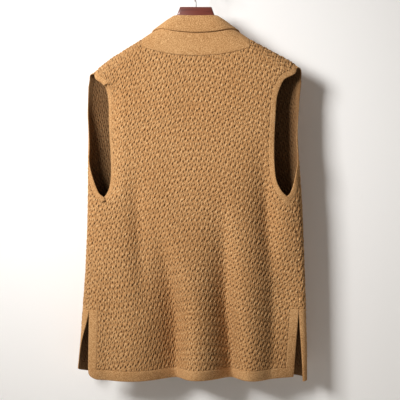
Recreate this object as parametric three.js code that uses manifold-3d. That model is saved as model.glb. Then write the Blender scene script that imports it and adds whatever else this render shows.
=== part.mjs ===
// A sleeveless knitted vest with a turned-down shawl collar and side slits, hanging on a wooden hanger.
// Millimetres, +Z up. The origin is the point where the hook rests on its rail. -Y is the back of the
// vest, +Y the front with its open placket, and -X the wearer's left.
//
// Every knitted piece is a thin wall. Its middle surface comes from rounded sections of the hanging
// body, closed over the shoulders, with the folds of the cloth added.
import * as THREE from "three";
import { mergeVertices } from "three/addons/utils/BufferGeometryUtils.js";
import Module from "manifold-3d";

// Thicknesses and seams
const KNIT = 2.4;
const SEAM_GAP = 0.3;

// Heights
const HEM_Z = -813;
const SLIT_TOP_Z = -672;
const UNDERARM_Z = -458;
const NECK_POINT = { x: 110, z: -125.5 };
const BACK_NECK_Z = -161;

// Widths of the plain knitted borders
const HEM_BAND = 21;
const SLIT_BAND = 18;
const ARMHOLE_BAND = 11;
const FRONT_BAND = 44;

// Shoulders: how far the cloth curves down from its ridge, and where the seam lies on the back
const RIDGE_ROUND = 26;
const SHOULDER_SEAM_DROP = 18;

// Colours
const TEXTURED_KNIT = 0xb98a52;
const PLAIN_KNIT = 0xb5844c;
const MAHOGANY = 0x4f1d19;
const STEEL = 0xb9bcc0;

// The hanging body, level by level: reach to each side, where its sides lie, and its depth each way.
const SECTIONS = [
  { z: -100, left: 214, right: 213, mid: 0, back: 21, front: 21 },
  { z: -190, left: 215, right: 212, mid: 0, back: 24, front: 24 },
  { z: -250, left: 216, right: 206.5, mid: 1, back: 27, front: 29 },
  { z: -340, left: 218, right: 207.5, mid: 3, back: 31, front: 36 },
  { z: -458, left: 218.5, right: 215, mid: 5, back: 37, front: 44 },
  { z: -570, left: 222, right: 219.5, mid: 6, back: 42, front: 50 },
  { z: -672, left: 229, right: 223, mid: 8, back: 45, front: 55 },
  { z: -752, left: 235, right: 225.5, mid: 9, back: 47, front: 58 },
  { z: -813, left: 240, right: 226, mid: 10, back: 48, front: 60 },
];

// How square a section is: 2 is an ellipse.
const SQUARENESS = 3;

// Armhole edges of the panels, from underarm (0) to shoulder (1). The back's are distances from the
// centre line. The front's are measured round the body from its side, positive towards the front.
const ARMHOLE = [
  { up: 0, backLeft: 192, backRight: 190, front: -46 },
  { up: 0.015, backLeft: 183, backRight: 180, front: -41 },
  { up: 0.045, backLeft: 175, backRight: 169, front: -36 },
  { up: 0.09, backLeft: 169, backRight: 160, front: -31.5 },
  { up: 0.16, backLeft: 166, backRight: 152, front: -27.5 },
  { up: 0.26, backLeft: 166, backRight: 148, front: -22 },
  { up: 0.38, backLeft: 168, backRight: 147, front: -14 },
  { up: 0.5, backLeft: 170, backRight: 148, front: -7 },
  { up: 0.62, backLeft: 171, backRight: 150, front: 0 },
  { up: 0.74, backLeft: 170, backRight: 153, front: 6 },
  { up: 0.84, backLeft: 172, backRight: 161, front: 11 },
  { up: 0.92, backLeft: 180, backRight: 172, front: 13 },
  { up: 1, backLeft: 194, backRight: 193, front: 14 },
];

// The folds that hang in the cloth: soft troughs, sunk into the body. Each runs down a path of x
// against z, with its depth along it, and falls off over its own width to either side.
const BACK_FOLDS = [
  {
    left: 28,
    right: 23,
    path: [
      { z: -440, x: 30, depth: 0 },
      { z: -501, x: 35, depth: 4 },
      { z: -571, x: 41, depth: 13 },
      { z: -672, x: 49, depth: 26 },
      { z: -752, x: 56, depth: 34 },
      { z: -813, x: 59, depth: 38 },
    ],
  },
  {
    left: 15,
    right: 12,
    path: [
      { z: -320, x: 120, depth: 0 },
      { z: -385, x: 126, depth: 7 },
      { z: -457, x: 131, depth: 15 },
      { z: -550, x: 135, depth: 16 },
      { z: -660, x: 143, depth: 14 },
      { z: -740, x: 138, depth: 11 },
      { z: -813, x: 132, depth: 6 },
    ],
  },
  {
    left: 42,
    right: 18,
    path: [
      { z: -470, x: -95, depth: 0 },
      { z: -521, x: -82, depth: 4 },
      { z: -591, x: -66, depth: 12 },
      { z: -671, x: -50, depth: 21 },
      { z: -732, x: -46, depth: 22 },
      { z: -813, x: -47, depth: 15 },
    ],
  },
  {
    left: 16,
    right: 16,
    path: [
      { z: -380, x: -128, depth: 0 },
      { z: -450, x: -124, depth: 5 },
      { z: -540, x: -119, depth: 6 },
      { z: -640, x: -114, depth: 3 },
      { z: -700, x: -112, depth: 0 },
    ],
  },
  {
    left: 22,
    right: 26,
    path: [
      { z: -540, x: -168, depth: 0 },
      { z: -650, x: -172, depth: 3 },
      { z: -740, x: -178, depth: 6 },
      { z: -813, x: -182, depth: 8 },
    ],
  },
];
const FRONT_FOLDS = [
  {
    left: 30,
    right: 22,
    path: [
      { z: -400, x: -112, depth: 0 },
      { z: -520, x: -120, depth: 6 },
      { z: -670, x: -131, depth: 15 },
      { z: -813, x: -138, depth: 21 },
    ],
  },
  {
    left: 20,
    right: 28,
    path: [
      { z: -470, x: 98, depth: 0 },
      { z: -600, x: 108, depth: 7 },
      { z: -720, x: 114, depth: 14 },
      { z: -813, x: 117, depth: 18 },
    ],
  },
  {
    left: 16,
    right: 16,
    path: [
      { z: -560, x: -78, depth: 0 },
      { z: -690, x: -82, depth: 5 },
      { z: -813, x: -85, depth: 7 },
    ],
  },
];
// Corner of a fold's trough: how wide its bottom is rounded.
const FOLD_ROUND = 5;

// The front's neckline, from the shoulder down to where the lapel ends.
const FRONT_NECK = [
  { z: -125, x: 110 },
  { z: -152, x: 107 },
  { z: -168, x: 102.5 },
  { z: -206, x: 90 },
  { z: -254, x: 76 },
  { z: -304, x: 61.5 },
  { z: -345, x: 50 },
];

// The collar, by distance along its seam from the middle of the back to where the lapel ends. The
// roll is its folded upper edge, and the leaf turns down outside over its own length.
const COLLAR = [
  { along: 0, rollX: 0, rollY: -14.5, rollZ: -79.5, leaf: 33, flare: 4 },
  { along: 32, rollX: 15, rollY: -14.3, rollZ: -79.3, leaf: 33, flare: 4 },
  { along: 62, rollX: 29, rollY: -13.4, rollZ: -79, leaf: 33.5, flare: 4 },
  { along: 90, rollX: 39.5, rollY: -10.5, rollZ: -79.6, leaf: 34.5, flare: 3 },
  { along: 112, rollX: 45.5, rollY: -5, rollZ: -83, leaf: 37, flare: 3 },
  { along: 140, rollX: 49.5, rollY: 5, rollZ: -91, leaf: 41, flare: 3 },
  { along: 160, rollX: 51, rollY: 12, rollZ: -99, leaf: 46, flare: 3 },
  { along: 177, rollX: 51, rollY: 18, rollZ: -108, leaf: 52, flare: 3 },
  { along: 205, rollX: 48, rollY: 26, rollZ: -130, leaf: 60, flare: 3 },
  { along: 245, rollX: 41, rollY: 33.5, rollZ: -168, leaf: 66, flare: 3 },
  { along: 290, rollX: 31, rollY: 38.5, rollZ: -222, leaf: 66, flare: 3 },
  { along: 335, rollX: 17.5, rollY: 41.5, rollZ: -285, leaf: 52, flare: 3 },
  { along: 373, rollX: 6.5, rollY: 42.5, rollZ: -339.6, leaf: 9, flare: 2 },
];
const ROLL_RADIUS = 1.75;
const COLLAR_SET = 0.35;

// The hanger
const HANGER = { topZ: -58.5, thick: 15, round: 4.5, neckHalf: 32, tipX: 182, armDeep: 30, tipDeep: 17 };
const HOOK = { wire: 3.2, bend: 18, stemBottomZ: -78, bore: 0.35 };

// A smooth curve through a table's rows: gives each column's value at a place along one of them.
function tableCurve(rows, along) {
  const columns = Object.keys(rows[0]).filter((k) => typeof rows[0][k] === "number" && k !== along);
  const up = [...rows].sort((a, b) => a[along] - b[along]);
  const slope = (i, k) => {
    const a = up[Math.max(i - 1, 0)];
    const b = up[Math.min(i + 1, up.length - 1)];
    return (b[k] - a[k]) / (b[along] - a[along]);
  };
  return (at) => {
    const place = Math.min(Math.max(at, up[0][along]), up[up.length - 1][along]);
    let i = 0;
    while (i < up.length - 2 && up[i + 1][along] < place) i++;
    const span = up[i + 1][along] - up[i][along];
    const t = (place - up[i][along]) / span;
    const value = { [along]: at };
    for (const k of columns) {
      const start = (1 + 2 * t) * (1 - t) ** 2 * up[i][k] + t * (1 - t) ** 2 * span * slope(i, k);
      const end = t * t * (3 - 2 * t) * up[i + 1][k] + t * t * (t - 1) * span * slope(i + 1, k);
      value[k] = start + end;
    }
    return value;
  };
}

const sectionAt = tableCurve(SECTIONS, "z");
const armholeAt = tableCurve(ARMHOLE, "up");

// A section's depth at a share of its reach to the side.
const roundOff = (share) => (1 - Math.min(Math.abs(share), 1) ** SQUARENESS) ** (1 / SQUARENESS);

// The cloth closes in an elliptical arc over the shoulder.
function shoulderRound(below) {
  const t = Math.min(Math.max(below / RIDGE_ROUND, 0), 1);
  return Math.sqrt(1 - (1 - t) ** 2);
}

// Height of the shoulder's ridge. The left one sags a little more past the end of the hanger.
function ridgeZ(x) {
  const out = Math.max(Math.abs(x) - NECK_POINT.x, 0);
  const side = x < 0 ? { slope: 0.625, sagFrom: 60, sag: 0.032 } : { slope: 0.535, sagFrom: 85, sag: 0.11 };
  return NECK_POINT.z - side.slope * out - side.sag * Math.max(out - side.sagFrom, 0) ** 1.5;
}

// Sum of the folds at a point, measured into the body.
function foldDepth(folds, x, z) {
  let sum = 0;
  for (const fold of folds) {
    const { x: line, depth } = fold.at(z);
    const off = x - line;
    const spread = off < 0 ? fold.left : fold.right;
    const away = Math.hypot(off, FOLD_ROUND) - FOLD_ROUND;
    sum += Math.max(depth, 0) * Math.exp(-((away / spread) ** 1.35));
  }
  return sum;
}
for (const fold of [...BACK_FOLDS, ...FRONT_FOLDS]) fold.at = tableCurve(fold.path, "z");

// The crest of the cloth between the folds swells out over the lower back.
const LOBE = { x: 4, width: 46, from: -520, reach: 9 };
function lobe(x, z) {
  const low = Math.min(Math.max((LOBE.from - z) / (LOBE.from - HEM_Z), 0), 1);
  return LOBE.reach * low * Math.exp(-(((x - LOBE.x) / LOBE.width) ** 2));
}

// The left armhole's edge curls round to the side.
const CURL = { reach: 19, width: 26, top: -215, bottom: -452 };
function edgeCurl(x, z, edge) {
  const t = Math.min(Math.max((z - CURL.bottom) / (CURL.top - CURL.bottom), 0), 1);
  const near = Math.min(Math.max(1 - (x + edge) / CURL.width, 0), 1);
  return CURL.reach * near * near * Math.sin(Math.PI * t) ** 0.6;
}

// Middle surface of the back, at x and z.
function backPoint(x, z) {
  const s = sectionAt(z);
  const share = x / (x < 0 ? s.left : s.right);
  const fade = 1 - Math.min(Math.abs(share), 1) ** 14;
  let y = s.mid - s.back * roundOff(share) * shoulderRound(ridgeZ(x) - z);
  y += (foldDepth(BACK_FOLDS, x, z) - lobe(x, z)) * fade;
  if (z > UNDERARM_Z) {
    const up = (z - UNDERARM_Z) / (shoulderSeamZ(x) - UNDERARM_Z);
    y += edgeCurl(x, z, armholeAt(Math.min(up, 1)).backLeft);
  }
  return new THREE.Vector3(x, y, z);
}

// Top edge of the back: its shoulder seams and, between them, the neckline.
function shoulderSeamZ(x) {
  return ridgeZ(x) - SHOULDER_SEAM_DROP;
}
function backTopZ(x) {
  const off = Math.abs(x - 2 + x / 55) / NECK_POINT.x;
  if (off >= 1) return shoulderSeamZ(x);
  const rise = shoulderSeamZ(NECK_POINT.x) - BACK_NECK_Z;
  return BACK_NECK_Z + rise * off ** 2.1;
}

// One level of the body from the back round a side to the front, as points with their distance
// round the body from the side's outermost place. zAt gives the height at each x.
function roundSide(side, reach, zAt) {
  const points = [];
  const steps = 160;
  for (let i = 0; i <= steps; i++) {
    const turn = (-0.36 + (0.86 * i) / steps) * Math.PI;
    const share = Math.abs(Math.cos(turn)) ** (2 / SQUARENESS);
    const x = side * reach * share;
    const z = zAt(x);
    const s = sectionAt(z);
    const depth = Math.sign(turn) * Math.abs(Math.sin(turn)) ** (2 / SQUARENESS);
    const toward = depth < 0 ? s.back : s.front;
    const fade = 1 - share ** 14;
    const fold = depth < 0 ? foldDepth(BACK_FOLDS, x, z) : -foldDepth(FRONT_FOLDS, x, z);
    const y = s.mid + toward * depth * shoulderRound(ridgeZ(x) - z) + fold * fade;
    points.push(new THREE.Vector3(x, y, z));
  }
  const round = [0];
  for (let i = 1; i < points.length; i++) round.push(round[i - 1] + points[i].distanceTo(points[i - 1]));
  const outermost = points.reduce((best, p, i) => (Math.abs(p.x) > Math.abs(points[best].x) ? i : best), 0);
  const start = round[outermost];
  return { points, round: round.map((r) => r - start) };
}

// The point at a distance round the body.
function pointRound(level, distance) {
  const { points, round } = level;
  let i = 0;
  while (i < round.length - 2 && round[i + 1] < distance) i++;
  const t = (distance - round[i]) / (round[i + 1] - round[i]);
  return points[i].clone().lerp(points[i + 1], t);
}

// The distance round the body at which it reaches an x, on its back or its front.
function distanceTo(level, x, onFront) {
  const { points, round } = level;
  const start = round.findIndex((r) => r >= 0);
  const order = onFront
    ? points.map((_, i) => i).slice(start)
    : points.map((_, i) => i).slice(0, start + 1).reverse();
  for (let k = 1; k < order.length; k++) {
    const a = order[k - 1];
    const b = order[k];
    if (Math.abs(points[b].x) <= Math.abs(x)) {
      const t = (Math.abs(points[a].x) - Math.abs(x)) / (Math.abs(points[a].x) - Math.abs(points[b].x));
      return round[a] + t * (round[b] - round[a]);
    }
  }
  return round[order[order.length - 1]];
}

// Where the side seam lies, as a share of the reach to the side, on the back's half of the section.
const seamShare = (z) => 0.94 - 0.067 * Math.exp(-Math.max(UNDERARM_Z - z, 0) / 26);

// Back edges below the underarm: the side seams, then the free edges of the slits.
function backEdgeX(side, z) {
  const s = sectionAt(z);
  const reach = side < 0 ? s.left : s.right;
  if (z >= SLIT_TOP_Z) return side * reach * seamShare(z);
  const top = sectionAt(SLIT_TOP_Z);
  const seam = (side < 0 ? top.left : top.right) * seamShare(SLIT_TOP_Z);
  const down = (SLIT_TOP_Z - z) / (SLIT_TOP_Z - HEM_Z);
  return side * (seam + (side < 0 ? 2 : -10) * down);
}

// Rows shared by the back and the fronts, from the hem to the underarm.
function bodyRows() {
  const gap = SEAM_GAP / 2;
  const rows = [HEM_Z, HEM_Z + HEM_BAND / 2, HEM_Z + HEM_BAND - gap, HEM_Z + HEM_BAND + gap];
  const spread = (from, to, n) => {
    for (let i = 1; i <= n; i++) rows.push(from + ((to - from) * i) / n);
  };
  spread(HEM_Z + HEM_BAND + gap, SLIT_TOP_Z - gap, 5);
  rows.push(SLIT_TOP_Z + gap);
  spread(SLIT_TOP_Z + gap, UNDERARM_Z, 10);
  return rows;
}
const LOW_ROWS = bodyRows();
const HEM_ROW = 3;
const SLIT_ROW = LOW_ROWS.findIndex((z) => z > SLIT_TOP_Z);
const UNDERARM_ROW = LOW_ROWS.length - 1;
const UP_ROWS = ARMHOLE.slice(1).map((row) => row.up);

// A line's direction at one of its points, weighted so that uneven steps to either side agree.
function direction(line, k) {
  const step = (way) => {
    let to = k + way;
    if (line[to] && line[to].distanceTo(line[k]) < 3 * SEAM_GAP) to += way;
    return line[to] ? line[to].clone().sub(line[k]) : new THREE.Vector3();
  };
  const ahead = step(1);
  const behind = step(-1).negate();
  const [a, b] = [ahead.length(), behind.length()];
  if (a === 0) return behind;
  if (b === 0) return ahead;
  return ahead.multiplyScalar(b / a).addScaledVector(behind, a / b);
}

// A grid of middle-surface points with its normals. Columns run so that column direction x row
// direction points out of the garment. Lines only a seam's gap apart share one normal. The extra
// lines round the grid's edge only steady the normals there, and are left off.
function surface(points, extra = { below: 0, above: 0, before: 0, after: 0 }) {
  const rows = points.length;
  const cols = points[0].length;
  const columns = points[0].map((_, j) => points.map((row) => row[j]));
  const normals = points.map((row, i) =>
    row.map((_, j) => direction(row, j).cross(direction(columns[j], i)).normalize()),
  );
  const trim = (grid) =>
    grid.slice(extra.below, rows - extra.above).map((row) => row.slice(extra.before, cols - extra.after));
  return { points: trim(points), normals: trim(normals) };
}

// A closed wall over the cells of a surface that belong to one piece.
function wall({ points, normals }, inCell, thick = KNIT) {
  const rows = points.length;
  const cols = points[0].length;
  const position = [];
  const index = [];
  const made = new Map();
  const vertex = (i, j) => {
    const key = i * cols + j;
    if (!made.has(key)) {
      made.set(key, position.length / 3);
      for (const half of [thick / 2, -thick / 2]) {
        const p = points[i][j].clone().addScaledVector(normals[i][j], half);
        position.push(p.x, p.y, p.z);
      }
    }
    return made.get(key);
  };
  const covered = (i, j) => i >= 0 && j >= 0 && i < rows - 1 && j < cols - 1 && inCell(i, j);
  const rim = (a, b) => index.push(a, a + 1, b + 1, a, b + 1, b);
  for (let i = 0; i < rows - 1; i++)
    for (let j = 0; j < cols - 1; j++) {
      if (!covered(i, j)) continue;
      const [a, b, c, d] = [vertex(i, j), vertex(i, j + 1), vertex(i + 1, j + 1), vertex(i + 1, j)];
      index.push(a, b, c, a, c, d, a + 1, c + 1, b + 1, a + 1, d + 1, c + 1);
      if (!covered(i - 1, j)) rim(a, b);
      if (!covered(i, j + 1)) rim(b, c);
      if (!covered(i + 1, j)) rim(c, d);
      if (!covered(i, j - 1)) rim(d, a);
    }
  return meshGeometry(position, index);
}

function meshGeometry(position, index) {
  const geometry = new THREE.BufferGeometry();
  geometry.setAttribute("position", new THREE.Float32BufferAttribute(position, 3));
  geometry.setIndex(index);
  geometry.computeVertexNormals();
  return geometry;
}

// Shares of the way across the back, with a border strip and its seam at either side.
const BACK_WIDTH = 420;
const SIDE_COLS = 3;
function backShares() {
  const gap = SEAM_GAP / 2 / BACK_WIDTH;
  const band = SLIT_BAND / BACK_WIDTH;
  const shares = [0, band / 2, band - gap, band + gap];
  const inner = 28;
  for (let i = 1; i < inner; i++) shares.push(band + gap + ((1 - 2 * (band + gap)) * i) / inner);
  shares.push(1 - band - gap, 1 - band + gap, 1 - band / 2, 1);
  return shares;
}
const BACK_SHARES = backShares();
const BACK_COLS = BACK_SHARES.length;

// Columns of the back that end where the neckline meets the shoulders.
const NECK_COLS = { left: 9, right: BACK_COLS - 10 };

// The back's top row keeps a column at each end of the neckline. Rows below blend to even columns.
function backX(from, to, col, pull) {
  const even = from + (to - from) * BACK_SHARES[col];
  const { left, right } = NECK_COLS;
  const at = BACK_SHARES[col];
  const [a, b] = [BACK_SHARES[left], BACK_SHARES[right]];
  let placed = -NECK_POINT.x + (2 * NECK_POINT.x * (at - a)) / (b - a);
  if (col < left) placed = from + ((-NECK_POINT.x - from) * at) / a;
  if (col > right) placed = NECK_POINT.x + ((to - NECK_POINT.x) * (at - b)) / (1 - b);
  return even + (placed - even) * pull;
}

// How far the extra lines round a grid stand off.
const EXTRA = 6;

// The left corner of the back's hem turns up in a round corner.
const CORNER = { radius: 24, lift: 13, curl: 10 };
function hemCorner(point, fromEdge) {
  const near = Math.min(Math.max(1 - fromEdge / CORNER.radius, 0), 1);
  const low = Math.max(1 - (point.z - HEM_Z) / (2 * CORNER.radius), 0);
  point.z += CORNER.lift * (1 - Math.sqrt(1 - near * near)) * low;
  point.y += CORNER.curl * near * near * low * low;
  return point;
}

// The back's hem hangs a little lower on each side of the middle.
const HEM_DIPS = [
  { x: -125, width: 62, drop: 3.5 },
  { x: 122, width: 40, drop: 3.5 },
];
function hemDip(point) {
  const low = Math.min(Math.max((SLIT_TOP_Z - point.z) / (SLIT_TOP_Z - HEM_Z), 0), 1);
  for (const dip of HEM_DIPS) point.z -= dip.drop * low * Math.exp(-(((point.x - dip.x) / dip.width) ** 2));
  return point;
}

function backSurface() {
  const grid = [];
  for (const z of LOW_ROWS) {
    const inset = z > SLIT_TOP_Z ? SEAM_GAP / 2 : 0;
    const from = backEdgeX(-1, z) + inset;
    const to = backEdgeX(1, z) - inset;
    const across = BACK_SHARES.map((_, col) => backX(from, to, col, 0));
    const xs = [from - EXTRA, ...across, to + EXTRA];
    grid.push(xs.map((x) => hemDip(hemCorner(backPoint(x, z), x - from))));
  }
  const top = (up, from, to, rise) => {
    const across = BACK_SHARES.map((_, col) => backX(from, to, col, up));
    const xs = [from - EXTRA, ...across, to + EXTRA];
    return xs.map((x) => backPoint(x, UNDERARM_Z + (backTopZ(x) - UNDERARM_Z) * up + rise));
  };
  for (const up of UP_ROWS) {
    const { backLeft, backRight } = armholeAt(up);
    grid.push(top(up, -backLeft, backRight, 0));
  }
  const { backLeft, backRight } = armholeAt(1);
  grid.push(top(1, -backLeft, backRight, EXTRA));
  return surface(grid, { below: 0, above: 1, before: 1, after: 1 });
}

// The fronts. Columns run from the side to the front edge. Above the break they end at the neckline.
const FRONT_INNER = 11;
const FRONT_COLS = { slit: 3, seam: 3 + FRONT_INNER, edge: 3 + FRONT_INNER + 3 };
const BREAK_UP = 0.38;
const BREAK_Z = UNDERARM_Z + (NECK_POINT.z - RIDGE_ROUND - UNDERARM_Z) * BREAK_UP;
const neckAt = tableCurve(FRONT_NECK, "z");
function frontSeamX(z) {
  const down = Math.min(Math.max((BREAK_Z - z) / (BREAK_Z - HEM_Z), 0), 1);
  return 50 + 6 * down;
}

// Rows over the shoulder, by turn from the ridge towards the front. Turns below zero lie on the
// back's side, and the last row runs along the back's edge.
const SEAM_TURN = -72;
const OVER_SHOULDER = [
  { turn: 60, edgeOut: 13.5 },
  { turn: 38, edgeOut: 13 },
  { turn: 20, edgeOut: 12 },
  { turn: 0, edgeOut: 10 },
  { turn: -25, edgeOut: 5 },
  { turn: SEAM_TURN, edgeOut: 0 },
];

// How far round from the side the front's slit edge lies: it swings out towards the hem.
function frontSlitDistance(side, level, z) {
  const seam = distanceTo(level, backEdgeX(side, SLIT_TOP_Z), false);
  const down = (SLIT_TOP_Z - z) / (SLIT_TOP_Z - HEM_Z);
  const atHem = side < 0 ? -4 : -22;
  return seam + (atHem - seam) * Math.sin((Math.PI / 2) * down) ** 1.3;
}

// At the slits the left front's hem rides up and the right one's hangs lower.
const HEM_SHIFT = { left: 18, right: -6, reach: 130 };
function hemShift(side, point, fromEdge) {
  const low = Math.min(Math.max((SLIT_TOP_Z - point.z) / (SLIT_TOP_Z - HEM_Z), 0), 1);
  const near = Math.max(1 - fromEdge / HEM_SHIFT.reach, 0);
  point.z += (side < 0 ? HEM_SHIFT.left : HEM_SHIFT.right) * near * near * low * low;
  return point;
}

function frontRow(side, level, from, seamX, withBand) {
  const to = distanceTo(level, seamX, true) - SEAM_GAP / 2;
  const row = [from - EXTRA, from, from + SLIT_BAND / 2, from + SLIT_BAND - SEAM_GAP / 2];
  const start = from + SLIT_BAND + SEAM_GAP / 2;
  for (let i = 0; i <= FRONT_INNER; i++) row.push(start + ((to - start) * i) / FRONT_INNER);
  const bandStep = withBand ? FRONT_BAND / 2 : EXTRA / 2;
  for (const k of [0, 1, 2]) row.push(to + SEAM_GAP + k * bandStep);
  return row.map((distance) => hemShift(side, pointRound(level, distance), distance - from));
}

// The back's top edge at an x, between its columns.
function topEdgeAt(back, x) {
  const top = back.points[back.points.length - 1];
  let j = 0;
  while (j < top.length - 2 && top[j + 1].x < x) j++;
  return top[j].clone().lerp(top[j + 1], (x - top[j].x) / (top[j + 1].x - top[j].x));
}

// A row that follows the shoulder over its ridge.
function overShoulderRow(side, turn, edgeOut, backPanel) {
  const back = turn < 0;
  const edge = (side < 0 ? armholeAt(1).backLeft : armholeAt(1).backRight) + edgeOut;
  const neck = NECK_POINT.x + SEAM_GAP / 2 - (back ? 0 : (3 * turn) / 90);
  const across = [edge + EXTRA];
  for (let j = 0; j <= FRONT_COLS.edge; j++) {
    const inner = Math.min(j, FRONT_COLS.seam) / FRONT_COLS.seam;
    across.push(edge + (neck - edge) * inner - (EXTRA / 2) * Math.max(j - FRONT_COLS.seam, 0));
  }
  const drop = RIDGE_ROUND * (1 - Math.cos((turn * Math.PI) / 180));
  return across.map((away) => {
    const x = side * away;
    if (turn === SEAM_TURN) {
      const edgePoint = topEdgeAt(backPanel, x);
      return edgePoint.add(backPoint(x, edgePoint.z + SEAM_GAP).sub(backPoint(x, edgePoint.z)));
    }
    const z = ridgeZ(x) - drop;
    return back ? backPoint(x, z) : frontPoint(x, z);
  });
}

// Middle surface of the fronts near the shoulders and the neck, at x and z.
function frontPoint(x, z) {
  const s = sectionAt(z);
  const share = x / (x < 0 ? s.left : s.right);
  const y = s.mid + s.front * roundOff(share) * shoulderRound(ridgeZ(x) - z);
  return new THREE.Vector3(x, y - foldDepth(FRONT_FOLDS, x, z) * (1 - Math.abs(share) ** 14), z);
}

function frontSurface(side, back) {
  const grid = [];
  for (const z of LOW_ROWS) {
    const s = sectionAt(z);
    const level = roundSide(side, side < 0 ? s.left : s.right, () => z);
    const seam = distanceTo(level, backEdgeX(side, z), false);
    const from = z > SLIT_TOP_Z ? seam + SEAM_GAP / 2 : frontSlitDistance(side, level, z);
    grid.push(frontRow(side, level, from, frontSeamX(z), true));
  }
  for (const up of UP_ROWS) {
    const zAt = (x) => UNDERARM_Z + (ridgeZ(x) - RIDGE_ROUND - UNDERARM_Z) * up;
    const s = sectionAt(zAt(side * 200));
    const level = roundSide(side, side < 0 ? s.left : s.right, zAt);
    const seamX = up < BREAK_UP ? frontSeamX(zAt(side * 50)) : neckAt(zAt(side * 70)).x;
    grid.push(frontRow(side, level, armholeAt(up).front, seamX, up <= BREAK_UP));
  }
  for (const { turn, edgeOut } of OVER_SHOULDER) grid.push(overShoulderRow(side, turn, edgeOut, back));
  const beyond = grid[grid.length - 1].map((p) => backPoint(p.x, p.z - EXTRA));
  grid.push(beyond);
  const points = side < 0 ? grid.map((row) => row.reverse()) : grid;
  const sideExtra = side < 0 ? { before: 0, after: 1 } : { before: 1, after: 0 };
  return surface(points, { below: 0, above: 1, ...sideExtra });
}

// The loop of panel edges round an armhole. Each place has its point, its outward direction and
// the point next to it inside the panel.
function armholeLoop(side, back, front) {
  const place = (from, i, j, next) => ({
    point: from.points[i][j],
    out: from.normals[i][j],
    inner: from.points[i][next],
    innerOut: from.normals[i][next],
  });
  const loop = [];
  const last = side < 0 ? FRONT_COLS.edge : 0;
  const [col, next] = side < 0 ? [0, 1] : [BACK_COLS - 1, BACK_COLS - 2];
  for (let i = UNDERARM_ROW; i < back.points.length; i++) loop.push(place(back, i, col, next));
  for (let i = front.points.length - 2; i > UNDERARM_ROW; i--)
    loop.push(place(front, i, last, side < 0 ? last - 1 : 1));
  return loop;
}

// The armhole band goes on from the panels' edges in a closed ring, and keeps their bend.
function armholeBand(side, back, front) {
  const loop = armholeLoop(side, back, front);
  const n = loop.length;
  const points = [];
  const normals = [];
  loop.forEach(({ point, out, inner, innerOut }, i) => {
    const along = new THREE.Vector3().subVectors(loop[(i + 1) % n].point, loop[(i - 1 + n) % n].point);
    const into = side < 0 ? out.clone().cross(along) : along.clone().cross(out);
    into.normalize();
    const bend = -innerOut.dot(into) / Math.max(point.distanceTo(inner), 1);
    const turned = Math.min(Math.max(bend, 0), 0.045);
    const widths = [SEAM_GAP, ARMHOLE_BAND / 2, ARMHOLE_BAND];
    if (side < 0) widths.reverse();
    points.push(
      widths.map((w) => {
        const p = point.clone().addScaledVector(into, w);
        return p.addScaledVector(out, (-turned * w * w) / 2);
      }),
    );
    normals.push(widths.map((w) => out.clone().addScaledVector(into, turned * w).normalize()));
  });
  return { points, normals };
}

// A closed ring of wall over rings of points.
function ringWall({ points, normals }, thick = KNIT) {
  const n = points.length;
  const cols = points[0].length;
  const position = [];
  const index = [];
  for (let i = 0; i < n; i++)
    for (let j = 0; j < cols; j++)
      for (const half of [thick / 2, -thick / 2]) {
        const p = points[i][j].clone().addScaledVector(normals[i][j], half);
        position.push(p.x, p.y, p.z);
      }
  const at = (i, j) => 2 * ((i % n) * cols + j);
  for (let i = 0; i < n; i++)
    for (let j = 0; j < cols - 1; j++) {
      const [a, b, c, d] = [at(i, j), at(i, j + 1), at(i + 1, j + 1), at(i + 1, j)];
      index.push(a, b, c, a, c, d, a + 1, c + 1, b + 1, a + 1, d + 1, c + 1);
      if (j === 0) index.push(d, d + 1, a, d + 1, a + 1, a);
      if (j === cols - 2) index.push(b, b + 1, c, b + 1, c + 1, c);
    }
  return meshGeometry(position, index);
}

// One half of the neck seam, from the middle of the back: along the back's top edge, then over the
// shoulder and down the front's neckline to the break. Gives the point at a distance along it.
function neckSeam(side, back, front) {
  const top = back.points[back.points.length - 1];
  const middle = Math.floor(BACK_COLS / 2);
  const end = side < 0 ? NECK_COLS.left : NECK_COLS.right;
  const line = [];
  for (let j = middle; j !== end + side; j += side) line.push(top[j]);
  const neckCol = side < 0 ? FRONT_COLS.edge - FRONT_COLS.seam : FRONT_COLS.seam;
  const breakRow = UNDERARM_ROW + 1 + UP_ROWS.indexOf(BREAK_UP);
  for (let i = front.points.length - 1; i >= breakRow; i--) line.push(front.points[i][neckCol]);
  const run = [0];
  for (let i = 1; i < line.length; i++) run.push(run[i - 1] + line[i].distanceTo(line[i - 1]));
  const length = run[run.length - 1] - 2 * SEAM_GAP;
  return (share) => {
    const distance = share * length;
    let i = 0;
    while (i < run.length - 2 && run[i + 1] < distance) i++;
    return line[i].clone().lerp(line[i + 1], (distance - run[i]) / (run[i + 1] - run[i]));
  };
}

const collarAt = tableCurve(COLLAR, "along");
const COLLAR_END = COLLAR[COLLAR.length - 1].along;

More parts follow.
